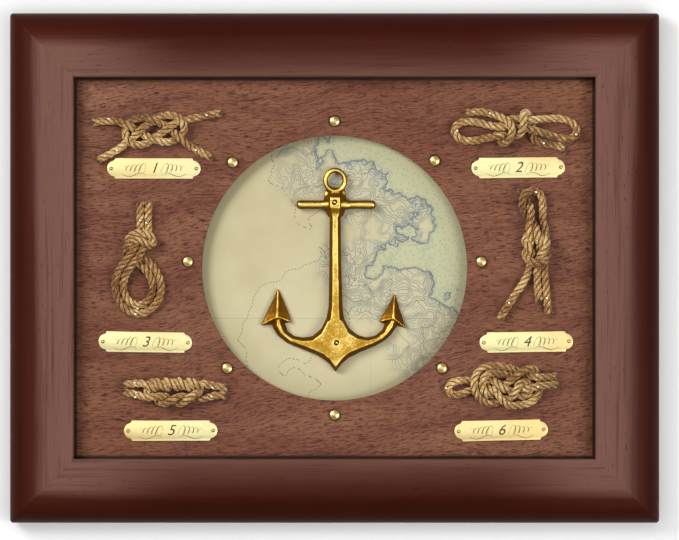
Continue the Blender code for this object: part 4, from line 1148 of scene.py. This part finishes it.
def makeRopes(ropes, material):
    rng = np.random.default_rng(7)
    for name, points in ropes.items():
        line = smoothLine(points, ropeKit["fineStep"])
        line = np.stack([line[:, 0], -line[:, 2], line[:, 1] + board["middle"]], 1)
        ahead, side, other = carried(line)
        tubes = Tubes()
        layStrands(tubes, rng, line, side, other)
        strayFibres(tubes, rng, line, ahead, side, other)
        frayedEnds(tubes, rng, line, ahead, side, other)
        piece(name.replace("_rope", "_cord"), tubes.mesh(name), material, "board", [name])
        print(f"{name}: {lengths(line)[-1] / mm:.0f} mm")


railKit = {
    "width": 0.0396,
    "depth": 0.024,
    "side": 0.006,
    "flat": 0.0135,
    "lip": 0.0015,
    "lipThickness": 0.010,
    "rabbet": 0.006,
    "corner": 0.0021,
    "mitreGap": 0.00001,
    "edge": 0.00007,
    "roundSteps": 24,
    "flatSteps": 4,
    "stations": (0, 0.0005, 0.001, 0.0016, 0.0024, 0.0036, 0.006, 0.02, 0.06),  # back from a mitre
}


def railProfile():
    # inward and forward, from the outer edge at the wall round to the rabbet
    kit = railKit
    roundWidth = kit["width"] - kit["flat"]
    points = [(0.0, 0.0)]
    for k in range(kit["roundSteps"] + 1):
        angle = k * math.pi / 2 / kit["roundSteps"]
        rise = (kit["depth"] - kit["side"]) * math.sin(angle)
        points.append((roundWidth * (1 - math.cos(angle)), kit["side"] + rise))
    for k in range(1, kit["flatSteps"]):
        points.append((roundWidth + (kit["flat"] - kit["lip"]) * k / kit["flatSteps"], kit["depth"]))
    points += arc(kit["width"] - kit["lip"], kit["depth"] - kit["lip"], kit["lip"], math.pi / 2, 0, 6)
    rabbetFront = kit["depth"] - kit["lipThickness"]
    backFace = kit["width"] - kit["rabbet"]
    return points + [(kit["width"], rabbetFront), (backFace, rabbetFront), (backFace, 0.0)]


def makeRail(name, length, reach, turn, material):
    kit = railKit
    stations = [(-1, back) for back in kit["stations"]] + [(1, back) for back in reversed(kit["stations"])]
    sections = []
    for side, back in stations:
        section = []
        for inward, depth in railProfile():
            along = length / 2 - inward - kit["mitreGap"] - back
            up = reach - inward
            # the outer corners are rounded
            radius = max(kit["corner"] - inward, 0)
            beyond = along - (length / 2 - inward - radius)
            if radius > 0 and beyond > 0:
                far = math.hypot(beyond, radius)
                along += beyond / far * radius - beyond
                up += radius / far * radius - radius
            section.append((side * along, -depth, up))
        sections.append(section)
    bm = bmesh.new()
    swept(bm, sections)
    outward(bm)
    softEdges(bm, sharpEdges(bm, 35), kit["edge"])
    setDown(bm, (0, 0, board["middle"]), Matrix.Rotation(math.radians(turn), 4, "Y"))
    mesh = meshFrom(bm, name)
    piece(name.replace("_rail", "_moulding"), mesh, material, "board", [name], 30)


def makeFrame():
    along = frameWood("frame wood, across", "across")
    upright = frameWood("frame wood, upright", "upright")
    makeRail("top_rail", board["width"], board["height"] / 2, 0, along)
    makeRail("bottom_rail", board["width"], board["height"] / 2, 180, along)
    makeRail("left_rail", board["height"], board["width"] / 2, -90, upright)
    makeRail("right_rail", board["height"], board["width"] / 2, 90, upright)


windowKit = {"radius": 0.0816, "steps": 288, "edge": 0.0003}


def makePanel(material):
    low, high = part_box("knot_panel")
    bm = bmesh.new()
    corners = [(low.x, low.z), (high.x, low.z), (high.x, high.z), (low.x, high.z)]
    window = arc(0, board["middle"], windowKit["radius"], 0, 2 * math.pi, windowKit["steps"])[:-1]
    for loop in (corners, window):
        verts = [bm.verts.new((x, low.y, z)) for x, z in loop]
        for pair in zip(verts, verts[1:] + verts[:1]):
            bm.edges.new(pair)
    bmesh.ops.triangle_fill(bm, use_beauty=True, use_dissolve=False, edges=bm.edges)
    thickened(bm, high.y - low.y)
    softEdges(bm, sharpEdges(bm, 40), windowKit["edge"])
    piece("veneered_panel", meshFrom(bm, "panel"), material, "board", ["knot_panel"], 30)


tackKit = {
    "circle": 0.0904,
    "angles": (90.0, 47.0, 2.5, -43.0, -90.0, -137.0, 177.5, 134.0),
    "radius": 0.00355,
    "height": 0.0024,
    "rim": 0.00035,
    "shank": 0.0008,
    "length": 0.0048,
    "sides": 64,
}


def makeTacks(material):
    kit = tackKit
    radius, rim, shank = kit["radius"], kit["rim"], kit["shank"]
    profile = dome(radius, rim, kit["height"], 12) + [
        (radius, rim * 0.45), (radius * 0.985, rim * 0.12), (radius * 0.95, 0.0), (shank, 0.0),
        (shank, 2 * shank - kit["length"]), (0.0, -kit["length"]),
    ]
    for number, angle in enumerate(kit["angles"], 1):
        turn = math.radians(angle)
        bm = turned(profile, kit["sides"])
        across, up = kit["circle"] * math.cos(turn), kit["circle"] * math.sin(turn)
        setDown(bm, at(across, board["panelFront"] + board["gap"], up))
        name = f"dome_tack_{number}"
        piece(f"tack_{number}", meshFrom(bm, name), material, "board", [name], 50)


pinKit = {
    # radius and height of the head, radius and length of the shank
    "plate": (0.0011, 0.0008, 0.0005, 0.0055),
    "nail": (0.0011, 0.0008, 0.0006, 0.009),
    "cord": (0.00090, 0.0009, 0.00028, None),  # as long as it has to be
    "steps": 28,
    "search": (0.0008, 0.0012),  # how near a cord's middle counts as under a pin
    "furthest": 0.002,
    "sunk": 0.0003,
    "intoPanel": 0.002,
    "cordPlaces": (
        (-139.0, 91.6), (-133.9, 72.3), (-78.7, 94.1), (-85.4, 72.5), (95.5, 95.2),
        (75.3, 84.6), (128.6, 76.7), (148.6, 82.1), (-119.7, 29.3), (-115.8, 27.8),
        (-121.3, -24.9), (-122.4, -28.5), (124.0, 46.7), (107.4, -21.5), (130.5, -18.4),
        (-123.1, -70.6), (-122.0, -76.5), (-122.7, -79.4), (-75.0, -73.7), (-75.7, -79.1),
        (124.9, -73.0), (68.7, -74.0),
    ),
}


def makePin(name, place, kind, material, deep=None, node=True):
    radius, height, shank, length = pinKit[kind]
    length = length or deep
    profile = dome(radius, height * 0.2, height, 8) + [
        (radius * 0.93, 0.0), (shank, 0.0), (shank, 2 * shank - length), (0.0, -length),
    ]
    bm = turned(profile, pinKit["steps"])
    setDown(bm, place)
    label, target = (name + "_head", [name]) if node else (name, ())
    piece(label, meshFrom(bm, name), material, "board", target, 50)


def makeCordPins(ropes, material):
    # each pin stands on the top run of cord under it
    kit = pinKit
    more, least = kit["search"]
    runs = np.vstack([evenly(rope, mm) for rope in ropes.values()])
    for number, (across, up) in enumerate(kit["cordPlaces"], 1):
        far = np.hypot(runs[:, 0] - across * mm, runs[:, 1] - up * mm)
        under = runs[far < max(far.min() + more, least)]
        drop = min(far.min(), kit["furthest"])
        top = under[:, 2].max() + math.sqrt((ropeKit["diameter"] / 2) ** 2 - drop**2) - kit["sunk"]
        deep = top - board["panelFront"] + kit["intoPanel"]
        makePin(f"cord_pin_{number}", at(across * mm, top, up * mm), "cord", material, deep, False)


plateKit = {
    "length": 0.0576,
    "height": 0.0127,
    "sheet": 0.0006,
    "notch": 0.00166,
    "ear": 0.0032,
    "bevel": 0.00022,
    "pinSpacing": 0.0524,
    "numeral": 0.0092,
    "slant": 0.34,
    "engraved": 0.00004,
    "places": (
        (-0.1113, 0.0613, 0.0), (0.1130, 0.0618, 0.7), (-0.1165, -0.0456, -0.8),
        (0.1180, -0.0455, 1.0), (-0.1009, -0.1001, 0.3), (0.1025, -0.0999, 1.4),
    ),
}


def plateOutline():
    kit = plateKit
    corner = kit["length"] / 2 - kit["ear"]
    half = kit["height"] / 2
    notchEnd = half - kit["notch"]
    earRadius = (notchEnd**2 + kit["ear"] ** 2) / (2 * kit["ear"])
    earMiddle = kit["length"] / 2 - earRadius
    swing = math.asin(notchEnd / earRadius)
    notch = arc(corner, -half, kit["notch"], math.pi, math.pi / 2, 12)
    ear = arc(earMiddle, 0, earRadius, -swing, swing, 24)[1:-1]
    right = notch + ear + [(across, -up) for across, up in reversed(notch)]
    return right + [(-across, -up) for across, up in right]


def ribbon(bm, points, widths):
    # a flat strip of changing width, used for the engraved strokes
    thick = plateKit["engraved"]
    front = plateKit["sheet"] - thick / 2
    sections = []
    for k, (across, up) in enumerate(points):
        before = Vector(points[max(k - 1, 0)])
        after = Vector(points[min(k + 1, len(points) - 1)])
        ahead = (after - before).normalized()
        left, over = -ahead.y * widths[k] / 2, ahead.x * widths[k] / 2
        sections.append([
            (across + left * way, -level, up + over * way)
            for way, level in ((1, front), (-1, front), (-1, front + thick), (1, front + thick))
        ])
    swept(bm, sections)


flourishKit = {
    "loops": 4.6,
    "steps": 200,
    "tall": 0.0031,
    "wide": 0.0011,
    "start": 0.0056,
    "length": 0.0128,
    "up": 0.0002,
    "thin": 0.00017,
    "swell": 0.00036,
    "waveSteps": 60,
    "waveTurns": 2.2,
    "waveThin": 0.00012,
    "waveSwell": 0.00022,
    "waveStart": 0.0050,
    "waveLength": 0.0150,
    "waveDown": 0.0040,
    "waveTall": 0.0011,
}


def flourish(bm, side):
    # running loops that grow smaller outward, with a long wave under them
    kit = flourishKit
    points, widths = [], []
    for k in range(kit["steps"]):
        share = k / (kit["steps"] - 1)
        turn = share * kit["loops"] * 2 * math.pi
        across = kit["start"] + kit["length"] * share - kit["wide"] * (1 - 0.4 * share) * math.sin(turn)
        up = kit["up"] - kit["tall"] * (1 - 0.60 * share) * math.cos(turn)
        points.append((side * across + up * plateKit["slant"], up))
        falling = max(0.0, -math.sin(turn))
        widths.append((kit["thin"] + kit["swell"] * falling) * (1 - 0.3 * share))
    ribbon(bm, points, widths)
    points, widths = [], []
    for k in range(kit["waveSteps"]):
        share = k / (kit["waveSteps"] - 1)
        up = kit["waveTall"] * math.sin(share * kit["waveTurns"] * math.pi) - kit["waveDown"]
        points.append((side * (kit["waveStart"] + kit["waveLength"] * share), up))
        widths.append(kit["waveThin"] + kit["waveSwell"] * math.sin(math.pi * share))
    ribbon(bm, points, widths)


def numeralMesh(number):
    letters = bpy.data.curves.new("numeral", "FONT")
    letters.body = str(number)
    letters.size = plateKit["numeral"]
    letters.shear = plateKit["slant"]
    letters.extrude = plateKit["engraved"] / 2
    letters.align_x = "CENTER"
    letters.align_y = "CENTER"
    obj = placed("numeral", letters)
    mesh = finishedMesh(obj)
    bpy.data.objects.remove(obj)
    mesh.transform(Matrix.Translation((0, -plateKit["sheet"], 0)) @ Matrix.Rotation(math.pi / 2, 4, "X"))
    return mesh


def makePlates(sheetMaterial, inkMaterial, pinMaterial):
    kit = plateKit
    for number, (across, up, tilt) in enumerate(kit["places"], 1):
        place = at(across, board["panelFront"] + board["gap"], up)
        lean = Matrix.Rotation(math.radians(-tilt), 4, "Y")
        bm = bmesh.new()
        bm.faces.new([bm.verts.new((x, 0, z)) for x, z in plateOutline()])
        thickened(bm, -kit["sheet"])
        front = [edge for edge in bm.edges if all(vert.co.y < -kit["sheet"] / 2 for vert in edge.verts)]
        softEdges(bm, front, kit["bevel"], 3)
        setDown(bm, place, lean)
        name = f"name_plate_{number}"
        piece(f"plate_{number}", meshFrom(bm, name), sheetMaterial, "board", [name], 30)
        bm = bmesh.new()
        flourish(bm, -1)
        flourish(bm, 1)
        bm.from_mesh(numeralMesh(number))
        bmesh.ops.recalc_face_normals(bm, faces=bm.faces)
        setDown(bm, place, lean)
        piece(f"plate_marks_{number}", meshFrom(bm, "marks"), inkMaterial, "board")
        for side, word in ((-1, "left"), (1, "right")):
            seat = Vector((side * kit["pinSpacing"] / 2, -(kit["sheet"] + board["gap"] * 0.2), 0))
            makePin(f"plate_pin_{number}_{word}", place + (lean @ seat), "plate", pinMaterial)


anchorKit = {
    "voxel": 0.00034,
    "rounds": 26,  # how far the edges are eased, as on a sand casting
    "nails": (("hub", 0.0, 0.0405, 0.0073), ("crown", 0.0012, -0.0460, 0.0067)),  # across, up, face
    "recess": (0.0019, 0.0031),  # round a nail the casting stays crisp, and eases further out
    "nailSink": 0.0013,
    "facing": (0.82, 0.98),  # how squarely a face looks forward where cloth starts to rub it and its painted highlight starts
    "brightening": (0.10, 0.68, 3.5),  # all over, on faces that look forward (rubbed, with a painted highlight), and on bulges
}


def readVectors(items, name, width=3, kind=float):
    values = np.empty(len(items) * width, kind)
    items.foreach_get(name, values)
    return values.reshape(-1, width)


def easedCasting():
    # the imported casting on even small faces, with eased edges
    kit = anchorKit
    bm = bmesh.new()
    bm.from_mesh(nodes["brass_anchor"].data)
    outward(bm, 1e-6)
    obj = placed("anchor_blank", meshFrom(bm, "anchor"))
    remesh = obj.modifiers.new("even", "REMESH")
    remesh.mode = "VOXEL"
    remesh.voxel_size = kit["voxel"]
    ease = obj.modifiers.new("ease", "SMOOTH")
    ease.factor = 0.5

    def eased(rounds):
        ease.iterations = rounds
        mesh = finishedMesh(obj)
        return mesh, readVectors(mesh.vertices, "co")

    # easing twice tells how much the first easing shrank the casting, and that much is given back
    mesh, crisp = eased(3)
    soft = eased(kit["rounds"])[1] * 2 - eased(kit["rounds"] * 2)[1]
    share = np.ones(len(crisp))
    near, far = kit["recess"]
    for word, across, up, face in kit["nails"]:
        away = np.hypot(crisp[:, 0] - across, crisp[:, 2] - up - board["middle"])
        share = np.minimum(share, np.clip((away - near) / (far - near), 0, 1))
    points = crisp + (soft - crisp) * share[:, None]
    mesh.vertices.foreach_set("co", points.ravel())
    mesh.update()
    bpy.data.objects.remove(obj)
    return mesh, points


def makeAnchor(material):
    mesh, points = easedCasting()
    normals = readVectors(mesh.vertices, "normal")
    edges = readVectors(mesh.edges, "vertices", 2, int)
    ends = ((edges[:, 0], edges[:, 1]), (edges[:, 1], edges[:, 0]))
    count = np.maximum(np.bincount(edges.ravel(), minlength=len(points)), 1)

    def gathered(values):
        # the mean of each point's neighbours
        total = np.zeros_like(values)
        for one, other in ends:
            np.add.at(total, one, values[other])
        return (total.T / count).T

    # edges and bulges that hands and cloth reach are rubbed bright; faces that look forward are rubbed and
    # also get a painted highlight
    bulge = ((points - gathered(points)) * normals).sum(1) / anchorKit["voxel"]
    for turn in range(3):
        bulge = bulge * 0.4 + gathered(bulge) * 0.6
    low, high = anchorKit["facing"]
    facing = np.clip((-normals[:, 1] - low) / (high - low), 0, 1)
    base, flat, raised = anchorKit["brightening"]
    worn = np.clip(facing * flat + bulge * raised + base, 0, 1)
    mesh.attributes.new("worn", "FLOAT", "POINT").data.foreach_set("value", worn)
    mesh.shade_smooth()
    piece("cast_anchor", mesh, material, "board", ["brass_anchor"])
    print(f"anchor: {len(mesh.vertices)} points")


def makeNails(material):
    # each head sits at the bottom of a recess in the casting
    back = board["chartFront"] + 2 * board["gap"]
    for word, across, up, face in anchorKit["nails"]:
        makePin(f"anchor_nail_{word}", at(across, back + face - anchorKit["nailSink"], up), "nail", material)


hangerKit = {
    "across": 0.1832,
    "up": 0.095,
    "screwDown": 0.0095,
    "screwBehind": 0.0014,
    "eyeBehind": 0.0024,
    "ringWidth": 0.016,
    "ringSide": 0.005,
    "ringBend": 0.0017,
    "wire": 0.0010,
    "wireSides": 16,
}


def makeHangingRing(word, side, material):
    kit = hangerKit
    wide, bend = kit["ringWidth"] / 2, kit["ringBend"]
    line = arc(bend - wide, bend, bend, math.pi, 1.5 * math.pi, 8)
    line += arc(wide - bend, bend, bend, 1.5 * math.pi, 2 * math.pi, 8)
    line += arc(0, kit["ringSide"], wide, 0, math.pi, 32)
    line = [Vector((across, 0, up)) for across, up in line]
    middle = Vector((side * kit["across"], kit["eyeBehind"], kit["up"] + board["middle"]))
    behind = Vector((0, 1, 0))
    wire = arc(0, 0, kit["wire"], 0, 2 * math.pi, kit["wireSides"])[:-1]
    sections = []
    for k, here in enumerate(line):
        ahead = (line[(k + 1) % len(line)] - line[k - 1]).normalized()
        aside = ahead.cross(behind)
        sections.append([here + middle + aside * out + behind * back for out, back in wire])
    bm = bmesh.new()
    swept(bm, sections + sections[:1], True)
    outward(bm)
    name = f"{word}_hanging_ring"
    piece(f"{word}_ring_wire", meshFrom(bm, name), material, name, [name], 60)


screwKit = {
    "head": 0.00275,
    "height": 0.0016,
    "shank": 0.0014,
    "length": 0.011,
    "threads": 9,
    "threadDown": 0.002,
    "core": 0.72,  # of the shank's radius, between two threads
    "pitch": 0.0009,
    "slot": (0.0030, 0.0014, 0.00058),
    "buttonAcross": 0.1794,
    "buttonUp": 0.045,
    "buttonBehind": 0.0018,
}


def screwMesh():
    kit = screwKit
    head, shank = kit["head"], kit["shank"]
    profile = dome(head, kit["height"] * 0.35, kit["height"], 8)
    profile += [(head, 0.0001), (head - 0.0001, 0.0), (shank, 0.0)]
    for k in range(kit["threads"]):
        low = -kit["threadDown"] - k * kit["pitch"]
        profile += [(shank * kit["core"], low), (shank, low - kit["pitch"] / 2)]
    profile += [(0.0, -kit["length"])]
    bm = turned(profile, 48)
    setDown(bm, (0, 0, 0), Matrix.Rotation(math.pi, 4, "X"))
    screw = placed("screw", meshFrom(bm, "screw"))
    # a cross recess, cut from the head
    bm = bmesh.new()
    for size in (kit["slot"], kit["slot"][::-1]):
        made = bmesh.ops.create_cube(bm, size=1.0)
        bmesh.ops.scale(bm, vec=size, verts=made["verts"])
        bmesh.ops.translate(bm, vec=(0, kit["height"] * 0.98, 0), verts=made["verts"])
    cross = placed("cross", meshFrom(bm, "cross"))
    cut = screw.modifiers.new("cross", "BOOLEAN")
    cut.operation = "DIFFERENCE"
    cut.solver = "EXACT"
    cut.use_self = True
    cut.object = cross
    mesh = finishedMesh(screw)
    for obj in (screw, cross):
        bpy.data.objects.remove(obj)
    return mesh


def makeScrews(material):
    blank = screwMesh()
    kit = screwKit
    seats = []
    for side, word in ((-1, "left"), (1, "right")):
        hangerUp = hangerKit["up"] - hangerKit["screwDown"]
        seats.append((f"{word}_hanger", side * hangerKit["across"], hangerUp, hangerKit["screwBehind"]))
        for way, high in ((1, "top"), (-1, "bottom")):
            place = (side * kit["buttonAcross"], way * kit["buttonUp"], kit["buttonBehind"])
            seats.append((f"{high}_{word}_button", *place))
    for number, (name, across, up, behind) in enumerate(seats):
        mesh = blank.copy()
        place = Matrix.Translation((across, behind, up + board["middle"]))
        # no two crosses are turned alike
        mesh.transform(place @ Matrix.Rotation(0.7 * number + 0.3, 4, "Y"))
        piece(f"{name}_pan_screw", mesh, material, "board", [f"{name}_screw"], 35)


def dressNode(name, material):
    mesh = nodes[name].data
    mesh.materials.clear()
    mesh.materials.append(material)


makeCamera()
makeLights()
makeWorld()
makeWall()
print("camera, lights and wall set")
makeFrame()
makePanel(panelWood())
print("frame and panel made")
dressNode("chart_card", chartPaper())
dressNode("backing_board", backingWood())
pinBrass = brass("pin brass")
makeTacks(brass("tack brass"))
makePlates(brass("plate brass", True), plateInk(), pinBrass)
makeAnchor(castBrass())
makeNails(pinBrass)
print("brass made")
knots = settledRopes()
makeRopes(knots, jute())
makeCordPins(knots, brass("cord pin"))
print("knots tied")
steel = platedSteel()
for side, word in ((-1, "left"), (1, "right")):
    makeHangingRing(word, side, steel)
    dressNode(f"{word}_hanger_strap", steel)
    for high in ("top", "bottom"):
        dressNode(f"{high}_{word}_turn_button", steel)
makeScrews(steel)
print("hardware made")
